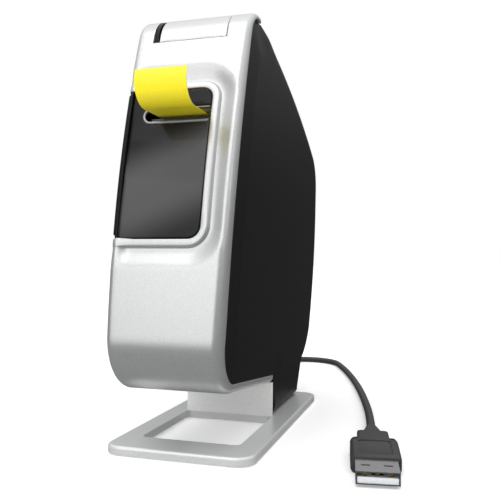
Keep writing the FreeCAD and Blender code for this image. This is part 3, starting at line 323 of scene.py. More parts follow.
# --- Strain relief ---
# A tapered rubber sleeve in the heel, with moulded rings that let it flex.

flex_rubber = grained("flexible_rubber", "#232325", "#303032", 0.6, 0.03, Roughness=0.62)
coat(flex_rubber, "cord_relief")

# --- Body outline ---
# The housings, the silver front, the door and the keys are all cut from one envelope: a side outline
# and a half width that narrows a little towards the table.

OUTLINE = [
    (-3.5, 3.0), (38.4, 3.0), (45.4, 15.9, 28.0), (60.7, 28.7, 183.0), (69.0, 83.2), (69.0, 93.5, 18.0),
    (58.55, 109.84, 345.0), (-32.07, 139.63, 11.2), (-44.55, 132.4, 398.0), (-66.4, 38.0, 16.1),
    (-52.25, 20.3), (-5.1, 15.3), (-3.5, 15.3),
]
BAND_EDGE = [
    (-31.0, 137.9, 9.3), (-42.0, 132.3, 395.0), (-61.7, 38.0, 12.2), (-53.0, 23.3), (-3.5, 18.0),
]


def trace(corners, step, closed=False):
    """Points along straight runs and arcs. A corner's third value is the radius of the arc after it."""
    points = []
    following = corners[1:] + corners[:1] if closed else corners[1:]
    for corner, target in zip(corners, following):
        here, there = Vector(corner[:2]), Vector(target[:2])
        chord = there - here
        count = max(int(chord.length / step), 1)
        if len(corner) == 2:
            points += [here.lerp(there, i / count) for i in range(count)]
            continue
        radius = corner[2]
        side = Vector((-chord.y, chord.x)).normalized()
        centre = here + chord / 2 + side * math.sqrt(max(radius ** 2 - chord.length_squared / 4, 0))
        swing = 2 * math.asin(min(chord.length / (2 * radius), 1))
        count = max(int(radius * swing / step), 2)
        for i in range(count):
            angle = swing * i / count
            arm = here - centre
            points.append(centre + Vector((arm.x * math.cos(angle) - arm.y * math.sin(angle),
                                           arm.x * math.sin(angle) + arm.y * math.cos(angle))))
    if not closed:
        points.append(Vector(corners[-1][:2]))
    return points


class Line:
    """A traced line that knows its length, its points and its inward normals."""

    def __init__(self, points):
        self.points = np.array([tuple(point) for point in points])
        runs = np.linalg.norm(np.diff(self.points, axis=0), axis=1)
        self.reach = np.concatenate(([0], np.cumsum(runs)))

    def at(self, along):
        """The point at a distance along the line."""
        return Vector((float(np.interp(along, self.reach, self.points[:, 0])),
                       float(np.interp(along, self.reach, self.points[:, 1]))))

    def inward(self, along, blur=0.35):
        """The normal to the left of travel, which points into the body."""
        way = self.at(min(along + blur, self.reach[-1])) - self.at(max(along - blur, 0))
        return Vector((-way.y, way.x)).normalized()

    def inside(self, along, depth, blur=0.35):
        """The point at a distance along the line and a depth inside it."""
        return self.at(along) + self.inward(along, blur) * depth

    def gaps(self, point):
        """How far each traced point is from a place."""
        return np.linalg.norm(self.points - np.array(point), axis=1)

    def clear_of(self, point):
        """How far a point is from the line."""
        start, stop = self.points[:-1], self.points[1:]
        run = stop - start
        gap = np.array(tuple(point)) - start
        share = np.clip((gap * run).sum(1) / (run * run).sum(1), 0, 1)
        return float(np.linalg.norm(gap - run * share[:, None], axis=1).min())

    def where(self, axis, value, low, high):
        """The distance along the line, between two others, at which a coordinate has a value."""
        inside = (self.reach >= low) & (self.reach <= high)
        values, reach = self.points[inside, axis], self.reach[inside]
        order = np.argsort(values)
        return float(np.interp(value, values[order], reach[order]))


side_line = Line(trace(OUTLINE, 0.6, closed=True) + [Vector(OUTLINE[0][:2])])
band_line = Line(trace(BAND_EDGE, 0.8))


def nearest(point):
    """The distance along the outline of the point nearest to a place."""
    return float(side_line.reach[int(np.argmin(side_line.gaps(point)))])


crest_at = nearest((-40.0, 137.5))
chin_at = nearest((-66.4, 38.0))
neck_at = nearest((-5.1, 15.3))
shoulder_at = nearest((58.55, 109.84))
band_start = side_line.where(0, -31.0, shoulder_at, crest_at)


def half_width(height):
    """The body's half width at a height: a shallow arc from foot to crest."""
    return 16.6 + 2.6 * height / 140 + height * (140 - height) / (2 * 3770.3)


def ease(value, low, high):
    """A smooth step from 0 to 1 between two values."""
    share = min(max((value - low) / (high - low), 0), 1)
    return share * share * (3 - 2 * share)


def round_off(distance, radius):
    """How far a surface drops at a distance from its edge, where the edge is rounded."""
    if distance >= radius:
        return 0.0
    return radius - math.sqrt(radius ** 2 - (radius - max(distance, 0)) ** 2)


def evenly(start, stop, count):
    """Values in equal steps, both ends included."""
    return [start + (stop - start) * i / count for i in range(count + 1)]


def quarter(centre, radius, upper, steps):
    """A quarter circle to the right of its centre: up from level, or from straight below to level."""
    turns = [math.pi / 2 * i / steps for i in range(steps + 1)]
    if upper:
        return [(centre[0] + radius * math.cos(a), centre[1] + radius * math.sin(a)) for a in turns]
    return [(centre[0] + radius * math.sin(a), centre[1] - radius * math.cos(a)) for a in turns]


def filled(outer, lines, points, unwanted):
    """Triangles that fill an outline in a plane and follow the lines drawn inside it. It returns the
    places, the number of the drawn point that each place came from, and the triangles."""
    places = [Vector(point) for point in outer]
    edges = [(i, (i + 1) % len(outer)) for i in range(len(outer))]
    for line in lines:
        first = len(places)
        places += [Vector(point) for point in line]
        edges += [(first + i, first + i + 1) for i in range(len(line) - 1)]
    places += [Vector(point) for point in points]
    spots, _, faces, sources, _, _ = delaunay_2d_cdt(places, edges, [list(range(len(outer)))], 1, 1e-4)
    faces = [face for face in faces if not unwanted(sum((spots[i] for i in face), Vector((0, 0))) / 3)]
    return spots, [min(source) if source else -1 for source in sources], faces


# --- Silver front shell ---
# Injection-moulded ABS in satin silver lacquer. It wraps over the crest, down the face, round the chin
# and under the belly, with a flange on each side. A raised rim frames the window in a soft trough.

WINDOW = {"low": 66.3, "high": 113.2, "right": 9.5, "corner": 3.8}
RIM = {"sunk": 0.55, "step": 0.95, "step_from": 1.95, "step_to": 2.75, "fade_from": 2.9, "fade_to": 9.0}
RING_OFFSETS = (0.12, 0.35, 1.9, 2.15, 2.4, 2.75, 3.3, 4.2, 5.4, 6.8, 8.4)
KEY_BAY = {"left": -13.2, "right": 11.8, "gap": 0.3}
CORNER = {1: 3.0, -1: 1.8}
EDGE = 0.35
FRONT_WALL, CAP_WALL, SHELL_WALL, DOOR_WALL = 1.5, 1.6, 1.8, 1.7
seen_low = side_line.where(1, WINDOW["low"], crest_at, chin_at)
seen_high = side_line.where(1, WINDOW["high"], crest_at, chin_at)
key_low = nearest((-45.6, 130.5))
bay_low = key_low + KEY_BAY["gap"]
window_mid = (seen_low + seen_high) / 2
window_half = (seen_low - seen_high) / 2


def flange(along):
    """How deep the front shell's side flange is."""
    return band_line.clear_of(side_line.at(along))


def corner_radius(along, side=1):
    """The rounding between front and side: smaller where the flange is shallow, and on the door's side."""
    return min(CORNER[side], max(flange(along) - 0.3, 0.9))


def flat_half(along, side=1):
    """The flat width from the middle to one rounded corner."""
    return half_width(side_line.at(along).y) - corner_radius(along, side)


def reach_across(along, side=1):
    """The length across the surface from the middle to one flange's rear edge."""
    radius = corner_radius(along, side)
    return flat_half(along, side) + radius * math.pi / 2 + max(flange(along) - radius, 0.1)


def on_front(across, along, sink):
    """The place, in metres, of a point on the wrapped surface, sunk below it."""
    way = 1 if across > 0 else -1
    radius, flat = corner_radius(along, way), flat_half(along, way)
    extra = abs(across) - flat
    turn = min(max(extra / radius, 0), math.pi / 2)
    x = min(abs(across), flat) + radius * math.sin(turn) - sink * math.sin(turn)
    depth = radius * (1 - math.cos(turn)) + max(extra - radius * math.pi / 2, 0) + sink * math.cos(turn)
    place = side_line.inside(along, depth)
    return Vector((way * x, place.x, place.y)) * MM


def off_window(across, along):
    """The distance outside the window's edge, negative inside it."""
    beyond = across - (WINDOW["right"] - WINDOW["corner"])
    past = abs(along - window_mid) - (window_half - WINDOW["corner"])
    if beyond < 0:
        return past - WINDOW["corner"]
    if past < 0:
        return beyond - WINDOW["corner"]
    return math.hypot(beyond, past) - WINDOW["corner"]


def window_ring(offset, left=None):
    """The window's outline moved outwards, from its left end round the right side and back."""
    start_left = -reach_across(window_mid, -1) - 1 if left is None else left
    turn = WINDOW["corner"] + offset
    edge = WINDOW["right"] + offset
    top, bottom = window_mid - window_half - offset, window_mid + window_half + offset
    count = max(int(turn / 0.9 * 1.6), 4)
    points = [(x, top) for x in evenly(start_left, edge - turn, 34)[:-1]]
    points += quarter((edge - turn, top + turn), turn, False, count)
    rows = int((bottom - top - 2 * turn) / 1.2)
    points += [(edge, along) for along in evenly(top + turn, bottom - turn, rows)[1:-1]]
    points += quarter((edge - turn, bottom - turn), turn, True, count)
    return points + [(x, bottom) for x in evenly(edge - turn, start_left, 34)[1:]]


def front_sink(across, along):
    """The rim, its trough and the rounded edges of the front shell, as a depth below the envelope."""
    away = off_window(across, along)
    rim = RIM["sunk"] + round_off(away, EDGE) + RIM["step"] * ease(away, RIM["step_from"], RIM["step_to"])
    corner_at = -flat_half(along, -1)
    shape = rim * (1 - ease(away, RIM["fade_from"], RIM["fade_to"]))
    shape *= 0.15 + 0.85 * ease(across, corner_at - 0.5, corner_at + 4)
    rear = reach_across(along, 1 if across > 0 else -1) - abs(across)
    shape += round_off(rear, EDGE)
    if along < key_low + 2:
        beside = max(across - KEY_BAY["right"], KEY_BAY["left"] - across)
        shape += round_off(max(beside, along - bay_low), 0.2)
    return shape


def skin_rows(low, high, step):
    """Values between two ends, about a step apart."""
    return evenly(low, high, int((high - low) / step))


def tidied(bm):
    """Drop the points that no face uses, and make the normals agree."""
    bmesh.ops.delete(bm, geom=[v for v in bm.verts if not v.link_faces], context="VERTS")
    bmesh.ops.recalc_face_normals(bm, faces=bm.faces)


def wrap_mesh(name, outer, lines, points, place, unwanted=lambda spot: False, index=lambda spot: 0):
    """A surface drawn flat, filled and wrapped on to the body, with each face's material."""
    spots, _, faces = filled(outer, lines, points, unwanted)
    mesh = mesh_of(name, [place(spot) for spot in spots], faces)
    for face, polygon in zip(faces, mesh.polygons):
        polygon.material_index = index(sum((spots[i] for i in face), Vector((0, 0))) / 3)
    with editing(mesh) as bm:
        tidied(bm)
    return mesh


def facing(mesh, towards):
    """Turn an open surface so that its faces look along a direction on the whole."""
    total = sum((p.normal * p.area for p in mesh.polygons), Vector())
    if total.dot(towards) < 0:
        mesh.flip_normals()
    return mesh


def walled(name, mesh, thickness, body, slot, *materials):
    """A piece with a wall of a thickness in mm behind its outer face."""
    thing = placed(name, mesh)
    paint(thing, *materials)
    wall = thing.modifiers.new("wall", "SOLIDIFY")
    wall.thickness = thickness * MM
    wall.offset = -1
    wall.use_quality_normals = True
    settled(thing)
    smooth(thing.data, 40)
    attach(thing, body)
    return thing


silver_lacquer = grained("satin_silver_lacquer", "#BDBEBF", "#CFD0D0", 0.3, 0.004,
                         Metallic=0.7, Roughness=0.34, Coat_Weight=0.1, Coat_Roughness=0.3)
# The window's rim is the same silver lacquer, painted a darker grey: painted shade on the flat, recessed rim.
rim_painted_shade_silver = grained("rim_silver_and_painted_shade", "#A9AAAC", "#BBBCBE", 0.3, 0.006, Metallic=0.5, Roughness=0.4)

rows = skin_rows(band_start, neck_at, 1.1)
left_border = [(-reach_across(along, -1), along) for along in rows]
right_border = [(reach_across(along), along) for along in rows]
notch = [point for point in window_ring(0) if point[0] > -reach_across(point[1], -1) + 0.2]
bay_left, bay_right = KEY_BAY["left"], KEY_BAY["right"]
key_notch = [(bay_left, band_start), (bay_left, bay_low), (bay_right, bay_low), (bay_right, band_start)]
outer = key_notch[2:] + right_border
outer += [(reach_across(neck_at) * (1 - i / 12), neck_at) for i in range(1, 12)]
outer += [(-reach_across(neck_at, -1) * i / 12, neck_at) for i in range(12)]
outer += [point for point in reversed(left_border) if point[1] > seen_low + 0.4]
outer += [(-reach_across(seen_low, -1), seen_low)] + list(reversed(notch))
outer += [(-reach_across(seen_high, -1), seen_high)]
outer += [point for point in reversed(left_border) if point[1] < seen_high - 0.4] + key_notch[:2]
lines = [[point for point in window_ring(offset) if point[0] > -reach_across(point[1], -1) + 0.05]
         for offset in RING_OFFSETS]
points = []
for along in rows[1:-1]:
    for side in (1, -1):
        flat, radius, whole = (measure(along, side) for measure in (flat_half, corner_radius, reach_across))
        stations = [flat * i / 14 for i in range(0 if side > 0 else 1, 15)]
        stations += [flat + radius * math.pi / 2 * i / 7 for i in range(1, 8)]
        stations += [whole - rest for rest in (0.9, EDGE, 0.18, 0.06) if whole - rest > stations[-1] + 0.05]
        for station in stations:
            across = side * station
            away = off_window(across, along)
            crowded = any(abs(away - offset) < 0.25 for offset in (0, *RING_OFFSETS[:7]))
            in_keys = along < bay_low + 0.3 and bay_left - 0.3 < across < bay_right + 0.3
            if away > 0 and not crowded and not in_keys:
                points.append((across, along))
for rest in (0.08, 0.2, 0.6):
    for x in (bay_right + rest, bay_left - rest):
        points += [(x, along) for along in skin_rows(band_start + 0.5, key_low, 0.8)]
    points += [(x, bay_low + rest) for x in evenly(-13, bay_right, 30)]
# Faces within 2.15 mm of the window take the second material, the rim's painted shade.
shell = wrap_mesh(
    "silver_front", outer, lines, points, lambda spot: on_front(*spot, front_sink(*spot)),
    unwanted=lambda spot: off_window(*spot) < 0 or spot[1] < bay_low and bay_left < spot[0] < bay_right,
    index=lambda spot: int(off_window(*spot) < 2.15))
facing(shell, Vector((0, -1, 0)))
silver_front = walled("silver_front", shell, FRONT_WALL, "body", "silver_shell", silver_lacquer, rim_painted_shade_silver)
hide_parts("front_shell")

# --- Cutter button and power key ---
# The wide silver button that cuts the label, and beside it the slim black crescent that switches the
# machine on. Both are caps in the crest that slide inwards at 45 degrees.


def block_into(bm, low, high):
    """A plain block between two corners in mm, for hidden posts and webs."""
    bmesh.ops.create_cube(bm, size=1, matrix=Matrix.Translation((Vector(low) + Vector(high)) / 2 * MM)
                          @ Matrix.Diagonal((*((Vector(high) - Vector(low)) * MM), 1)))


def rod_into(bm, centre, radius, low, high):
    """An upright rod in mm, for hinge barrels."""
    place = Vector((centre[0], centre[1], (low + high) / 2)) * MM
    bmesh.ops.create_cone(bm, cap_ends=True, segments=32, radius1=radius * MM, radius2=radius * MM,
                          depth=(high - low) * MM, matrix=Matrix.Translation(place))


def cap_mesh(name, left, right, low_end, edge, lift):
    """A cap on the crest between two sides, with its lower end at a distance along the outline."""
    rear = band_start + 0.55
    outer = [(right, along) for along in evenly(rear, low_end, 24)[:-1]]
    outer += [(x, low_end) for x in evenly(right, left, 30)[:-1]]
    outer += [(left, along) for along in evenly(low_end, rear, 24)[:-1]]
    outer += [(x, rear) for x in evenly(left, right, 30)[:-1]]

    def clear(spot):
        return min(spot[0] - left, right - spot[0], low_end - spot[1], spot[1] - rear)

    def stations(low, high, count):
        near = [low + rest for rest in (0.06, 0.13, edge)] + [high - rest for rest in (0.06, 0.13, edge)]
        return near + evenly(low, high, count)[1:-1]

    points = [(x, y) for x in stations(left, right, 16) for y in stations(rear, low_end, 26)
              if clear((x, y)) > 0.04]
    return facing(wrap_mesh(name, outer, [], points, lambda spot: on_front(
        *spot, lift + round_off(clear(spot), edge))), Vector((0, -1, 1)))


button_mesh = cap_mesh("cutter_cap", -11.0, 11.66, key_low + 0.16, 0.2, 0.0)
button = walled("cutter_cap", button_mesh, CAP_WALL, "button", "silver_shell", silver_lacquer)
# The hidden post under the cap, as two blocks: front, rear and top of each.
POST_HALF, POST_FOOT = 3, 124.1
with editing(button.data) as bm:
    for front, rear, top in ((-43.8, -42.3, 133.2), (-42.3, -40.8, 135.3)):
        block_into(bm, (-POST_HALF, front, POST_FOOT), (POST_HALF, rear, top))
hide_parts("cutter_button")

black_abs = grained("moulded_black_abs", "#121213", "#19191A", 0.45, 0.016, Roughness=0.4,
                    Specular_IOR_Level=0.14)
key_rear, key_front = band_start + 1.1, key_low - 0.4


def bowed(at, depth, shares):
    """One side of the crescent, at shares of its length from the rear: it bows out to the left."""
    return [(at - depth * (1 - (2 * share - 1) ** 2) ** 0.5, key_rear + (key_front - key_rear) * share)
            for share in shares]


# Both sides bow to the left, the outer one further, so that the ends run to points.
crescent = bowed(-11.3, 0.5, [i / 24 for i in range(25)])
crescent += bowed(-11.35, 1.6, [1 - i / 24 for i in range(1, 24)])
key_mesh = facing(wrap_mesh("power_crescent", crescent, [], [], lambda spot: on_front(*spot, 0.1)),
                  Vector((0, -1, 1)))
key = walled("power_crescent", key_mesh, 1.0, "key", "black_plastic", black_abs)
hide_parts("power_key")
# Behind the crescent a black floor fills the bay: a dark sheet as painted shade in the gap round the key. It
# moves with nothing.
bay_shade_floor = cap_mesh("key_bay_painted_shade", -13.1, -11.05, key_low + 0.2, 0.1, 0.7)
new_piece("key_bay_painted_shade", bay_shade_floor, "body", "black_plastic", black_abs)

# --- Window pane and its slot ---
# A smoky acrylic pane, polished, with a painted reflection in its colour: a lighter band across the middle,
# and darker towards the top and bottom. The tape leaves through a slot in its right side, which has a
# rounded lip round its left end and along its lower edge and a thin bead along its upper edge, in a light
# grey that is painted highlight on the slot's edges.

PANE = {"left": -17.4, "right": 9.15, "sink": 0.95, "slot_low": 102.7, "slot_high": 106.8, "slot_left": -12.3}
slot_bottom = side_line.where(1, PANE["slot_low"], crest_at, chin_at)
slot_top = side_line.where(1, PANE["slot_high"], crest_at, chin_at)
slot_mid, slot_half = (slot_bottom + slot_top) / 2, (slot_bottom - slot_top) / 2


def slot_round(grow, steps=9):
    """The slot's left end, moved outwards, from its lower to its upper edge."""
    centre = PANE["slot_left"] + slot_half
    return [(centre - (slot_half + grow) * math.sin(a), slot_mid + (slot_half + grow) * math.cos(a))
            for a in (math.pi * i / steps for i in range(steps + 1))]


def off_slot(across, along):
    """The distance outside the slot's edge, negative inside it."""
    beyond = PANE["slot_left"] + slot_half - across
    return math.hypot(max(beyond, 0), along - slot_mid) - slot_half


outline = window_ring(-EDGE, left=PANE["left"])
top_run = [point for point in outline if point[1] < slot_top]
low_run = [point for point in outline if point[1] > slot_bottom]
pane_outer = top_run + [(PANE["right"], slot_top)] + list(reversed(slot_round(0)))
pane_outer += [(PANE["right"], slot_bottom)] + low_run
pane_points = [
    (x, along) for x in evenly(PANE["left"], PANE["right"], 30)[1:-1]
    for along in evenly(window_mid - window_half, window_mid + window_half, 46)[1:-1]
    if off_window(x, along) < -0.9 and off_slot(x, along) > 0.5]
pane_rings = [[p for p in window_ring(-EDGE - rest, left=PANE["left"]) if off_slot(*p) > 0.4]
              for rest in (0.12, 0.3)]
pane_rings = [[p for p in ring if p[1] < slot_mid] for ring in pane_rings] + [
    [p for p in ring if p[1] > slot_mid] for ring in pane_rings]
pane_rings += [slot_round(0.12), slot_round(0.3)]
pane_mesh = facing(wrap_mesh(
    "smoky_pane", pane_outer, pane_rings, pane_points,
    lambda spot: on_front(
        *spot, PANE["sink"] + round_off(min(-EDGE - off_window(*spot), off_slot(*spot)), 0.3)),
    unwanted=lambda spot: off_slot(*spot) < 0), Vector((0, -1, 0)))
# The pane's colour is its dark smoky tint plus a painted reflection: a lighter band across the middle.
acrylic, tree, shader, place = start_material(
    "smoky_acrylic_and_painted_reflection", Roughness=0.3, Coat_Weight=0.12, Coat_Roughness=0.05, Specular_IOR_Level=0.1)
axes = add(tree, "ShaderNodeSeparateXYZ", {"Vector": place})
height = add(tree, "ShaderNodeMapRange", {
    "Value": axes.outputs["Z"], "From Min": 0.066, "From Max": 0.113})
tilted = add(tree, "ShaderNodeMath", {0: axes.outputs["X"], 1: -9.0, 2: height.outputs["Result"]},
             operation="MULTIPLY_ADD")
smoke_and_painted_reflection = shaded(tree, tilted.outputs["Value"], (0, "#1A1A1B"), (0.3, "#4E4E4F"), (0.5, "#515152"),
               (0.78, "#1C1C1D"), (1, "#0C0C0D"))
smoke_and_painted_reflection.color_ramp.interpolation = "EASE"
speck = add(tree, "ShaderNodeTexNoise", {"Vector": place, "Scale": 3500.0, "Detail": 2.0})
tree.links.new(smoke_and_painted_reflection.outputs["Color"], shader.inputs["Base Color"])
swirl = add(tree, "ShaderNodeBump", {"Height": speck.outputs["Fac"], "Strength": 0.2, "Distance": 0.002 * MM})
tree.links.new(swirl.outputs["Normal"], shader.inputs["Normal"])
pane = walled("smoky_pane", pane_mesh, FRONT_WALL, "door", "dark_window", acrylic)
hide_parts("window_panel")


def bead(name, spots, radius, sink):
    """A round bead on the door along a line on the wrapped surface, coloured as painted highlight."""
    thing, _ = tube(name, "POLY", [on_front(*spot, sink) for spot in spots], radius, 3)
    mesh = shown(thing)
    bpy.data.objects.remove(thing)
    smooth(mesh, 60)
    return new_piece(name, mesh, "door", "silver_shell", slot_edge_highlight)


# The slot's beads are rounded edges of the pane in a light grey that is painted highlight.
slot_edge_highlight = grained("slot_edge_painted_highlight", "#8E8F92", "#A9AAAD", 0.3, 0.004, Metallic=0.6, Roughness=0.35)
lip_right = PANE["right"] - 0.3
lip_spots = [(x, slot_bottom + 0.25) for x in evenly(lip_right, PANE["slot_left"] + slot_half, 24)[:-1]]
lip_spots += slot_round(0.25, 12)
bead("slot_lip", lip_spots, 0.42, PANE["sink"] - 0.05)
bead("slot_upper_edge", [(x, slot_top - 0.1) for x in evenly(lip_right, lip_right - 20, 12)],
     0.22, PANE["sink"] + 0.05)

# --- Black side walls ---
# Injection-moulded black ABS with a fine spark-eroded texture. Two shells meet in a seam along the roof
# and the back. Next to the silver flange the right wall is sunk and rises in a soft ramp.

band_reach = band_line.reach[-1]


def edge_radius(along):
    """The rounding of the roof, back and foot: it starts small beside the silver band."""
    return 1.3 + 1.7 * ease(abs(along - band_start), 0, 24) if along > crest_at - 60 else 3.0


def side_sink(place, ramp):
    """How far a side wall lies inside the envelope because of the ramp beside the flange."""
    if not ramp:
        return 0.0
    away = band_line.clear_of(place)
    high = 0.35 + 0.65 * ease(place[1], 45, 95)
    return high * (1 - min(away / 10.5, 1)) + 0.12


def side_wall(name, side, outer, inner_lines, points, drops, ramp=False, unwanted=lambda spot: False):
    """A side wall filled in the side view. drops gives the rounding of the drawn points."""
    spots, sources, faces = filled(outer, inner_lines, points, unwanted)
    places = []
    for spot, source in zip(spots, sources):
        drop = drops.get(source, 0.0)
        x = half_width(spot.y) - drop - side_sink((spot.x, spot.y), ramp)
        places.append(Vector((side * x, spot.x, spot.y)) * MM)
    return mesh_of(name, places, faces)


def rounded_lines(stretch, radius_at, blur, first, keep):
    """The lines along a rounded edge in the side view, and how far each of their points drops."""
    lines, drops = [], {}
    for k in range(1, 6):
        line = []
        for along in stretch:
            inset = side_line.inward(along, blur) * radius_at(along) * (1 - math.cos(math.pi / 10 * k))
            place = tuple(side_line.at(along) + inset)
            if keep(place):
                drops[first + len(line)] = radius_at(along) * (1 - math.sin(math.pi / 10 * k))
                line.append(place)
        lines.append(line)
        first += len(line)
    return lines, drops


def add_strip(mesh, rows):
    """Join a strip of faces through rows of places to a wall whose edge it meets."""
    with editing(mesh) as bm:
        rims = [[bm.verts.new(place) for place in row] for row in rows]
        for row, after in zip(rims, rims[1:]):
            for corners in zip(row, row[1:], after[1:], after):
                bm.faces.new(corners)
        bmesh.ops.remove_doubles(bm, verts=bm.verts, dist=0.02 * MM)
        tidied(bm)


def grid(start, pitch, columns, rows, stagger=0.0):
    """Points in columns, every second row moved sideways."""
    return [(start[0] + pitch[0] * i + stagger * (j % 2), start[1] + pitch[1] * j)
            for i in range(columns) for j in range(rows)]


def inner_points(points, outer):
    """The points inside an outline that keep clear of the body's rounded edge."""
    return [p for p in points if side_line.gaps(p).min() > 3.4 and point_in(p, outer)]


def black_shell(name, side, ramp, holes):
    """One black shell: its side wall, the rounding, and the strip over roof, back and foot to the seam."""
    stretch = skin_rows(0.02, band_start, 1.3)
    edge = [side_line.at(along) for along in stretch]
    front = [band_line.at(band_reach * i / 150) for i in range(151)]
    outer = [tuple(p) for p in edge] + [tuple(p) for p in front[1:]] + [(-3.5, 15.3)]
    lines, drops = rounded_lines(stretch[2:-2], edge_radius, 0.9, len(outer), lambda place: True)
    drops.update({i: edge_radius(along) for i, along in enumerate(stretch)})
    lines += [[*hole, hole[0]] for hole in holes]
    if ramp:
        for away in (10.1, 10.5, 10.9):
            lines.append([tuple(band_line.inside(band_reach * i / 90, away)) for i in range(8, 84)])
    points = inner_points(grid((-66, 5), (2.25, 2.15), 60, 64, 0.3), outer)
    mesh = side_wall(name, side, outer, lines, points, drops, ramp,
                     lambda spot: any(point_in(spot, hole) for hole in holes))
    rows = []
    for along, place in zip(stretch, edge):
        whole = half_width(place.y) - edge_radius(along) - side_sink(place, ramp)
        rows.append([])
        for x in (0.03, 0.12, 0.3, 0.6, whole * 0.3, whole * 0.55, whole * 0.8, whole):
            sunk = side_line.inside(along, round_off(x, 0.3), 0.9)
            rows[-1].append(Vector((side * x, *sunk)) * MM)
    add_strip(mesh, rows)
    return facing(mesh, Vector((side, 0, 0)))


def point_in(spot, loop):
    """Whether a place lies inside a closed outline."""
    inside = False
    for (x0, y0), (x1, y1) in zip(loop, loop[1:] + loop[:1]):
        if (y0 > spot[1]) != (y1 > spot[1]) and spot[0] < (x1 - x0) * (spot[1] - y0) / (y1 - y0) + x0:
            inside = not inside
    return inside


def round_box(low, high, radius, steps=6):
    """A rounded rectangle in the side view."""
    middle = ((low[0] + high[0]) / 2, (low[1] + high[1]) / 2)
    return [(middle[0] + x, middle[1] + z) for x, z in
            ring_of((high[0] - low[0]) / 2, (high[1] - low[1]) / 2, radius, steps)]


right_mesh = black_shell("right_shell", 1, True, [])
right_shell = walled("right_shell", right_mesh, SHELL_WALL, "body", "black_plastic", black_abs)
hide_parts("right_housing")

SCREW_PLACES = ((54, 50), (50, 103), (20, 12))
SCREW_HOLE = 2.35
HINGE, BARREL = (-18, 38), 1.7
FIXED_BARREL = (79.35, 100.65)
WEB = (HINGE[0] - 0.9, HINGE[0] + 0.9)
DOOR = {"rear": 35.9, "low": 66.6, "high": 112.9, "corner": 4.0, "bay_rear": 40.1}
door_gap = [(-75, WINDOW["low"]), (DOOR["bay_rear"], WINDOW["low"]), (DOOR["bay_rear"], WINDOW["high"]),
            (-75, WINDOW["high"])]
HATCH = ((-44, 26), (14, 60), 3)


def hatch_line(grow):
    """The hatch's outline, moved outwards."""
    (left, low), (right, high), radius = HATCH
    return round_box((left - grow, low - grow), (right + grow, high + grow), radius + grow)


screw_gaps = [[(y + SCREW_HOLE * math.cos(a), z + SCREW_HOLE * math.sin(a))
               for a in (math.tau * i / 24 for i in range(24))] for y, z in SCREW_PLACES]
left_mesh = black_shell("left_shell", -1, False, [door_gap, hatch_line(0.3), *screw_gaps])
left_shell = walled("left_shell", left_mesh, SHELL_WALL, "body", "black_plastic", black_abs)
with editing(left_shell.data) as bm:
    rod_into(bm, HINGE, BARREL, *FIXED_BARREL)
    block_into(bm, (WEB[0], HINGE[1], FIXED_BARREL[0]), (WEB[1], 42, FIXED_BARREL[1]))
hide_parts("left_housing")

# --- Cassette door ---
# The same black ABS. The door is the left wall over the cassette with the body's rounded front corner,
# it carries the pane, and it turns on two barrels round a long steel pin.

door_stretch = [side_line.where(1, z, crest_at, chin_at)
                for z in (DOOR["high"] + (DOOR["low"] - DOOR["high"]) * i / 42 for i in range(43))]
door_edge = [tuple(side_line.at(along)) for along in door_stretch]
corner, rear_middle = DOOR["corner"], DOOR["rear"] - DOOR["corner"]
door_outer = list(door_edge)
door_outer += [(y, DOOR["low"]) for y in evenly(-60, rear_middle, 40)[2:]]
door_outer += quarter((rear_middle, DOOR["low"] + corner), corner, False, 6)[1:]
door_outer += [(DOOR["rear"], z) for z in evenly(DOOR["low"] + corner, DOOR["high"] - corner, 20)[1:-1]]
door_outer += quarter((rear_middle, DOOR["high"] - corner), corner, True, 6)
door_outer += [(y, DOOR["high"]) for y in evenly(rear_middle, -48, 40)[1:-1]]
door_round = CORNER[-1]
door_lines, door_drops = rounded_lines(
    door_stretch[1:-1], lambda along: door_round, 0.35, len(door_outer),
    lambda place: DOOR["low"] + 0.1 < place[1] < DOOR["high"] - 0.1)
door_drops.update({i: door_round for i in range(len(door_edge))})
door_points = [p for p in inner_points(grid((-58, 68.5), (2.4, 2.2), 40, 20, 0.2), door_outer)
               if p[0] < DOOR["rear"] - 1]
door_mesh = side_wall("door_wall", -1, door_outer, door_lines, door_points, door_drops)
front_rows = []
for along, place in zip(door_stretch, door_edge):
    whole = half_width(place[1]) - door_round
    front_rows.append([
        Vector((-x, *side_line.inside(along, sink))) * MM
        for x, sink in ((whole, 0), (whole - 0.15, 0.05), (whole - 0.3, 0.3))])
add_strip(door_mesh, front_rows)
facing(door_mesh, Vector((-1, 0, 0)))
door = walled("door_wall", door_mesh, DOOR_WALL, "door", "black_plastic", black_abs)
with editing(door.data) as bm:
    for low, high in ((68, 79), (101, 112)):
        rod_into(bm, HINGE, BARREL, low, high)
    for low, high in ((72, 79), (101, 108)):
        block_into(bm, (WEB[0], 34.9, low), (WEB[1], HINGE[1], high))
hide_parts("cassette_door")

# --- Battery hatch ---
# A black ABS cover low in the left wall, with a row of moulded grip ribs under its upper edge.

hatch_outer = hatch_line(0)
hatch_drops = {i: 0.3 for i in range(len(hatch_outer))}
hatch_lines = []
for inset, drop in ((0.1, 0.12), (0.3, 0.0)):
    first = len(hatch_outer) + sum(len(line) for line in hatch_lines)
    line = hatch_line(-inset)
    hatch_lines.append([*line, line[0]])
    hatch_drops.update({first + i: drop for i in range(len(hatch_lines[-1]))})
hatch_mesh = side_wall("battery_hatch", -1, hatch_outer, hatch_lines, grid((-42, 28), (2.3, 2.1), 24, 15),
                       hatch_drops)
facing(hatch_mesh, Vector((-1, 0, 0)))
hatch = walled("battery_hatch", hatch_mesh, DOOR_WALL, "battery_hatch", "black_plastic", black_abs)
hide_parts("battery_cover")


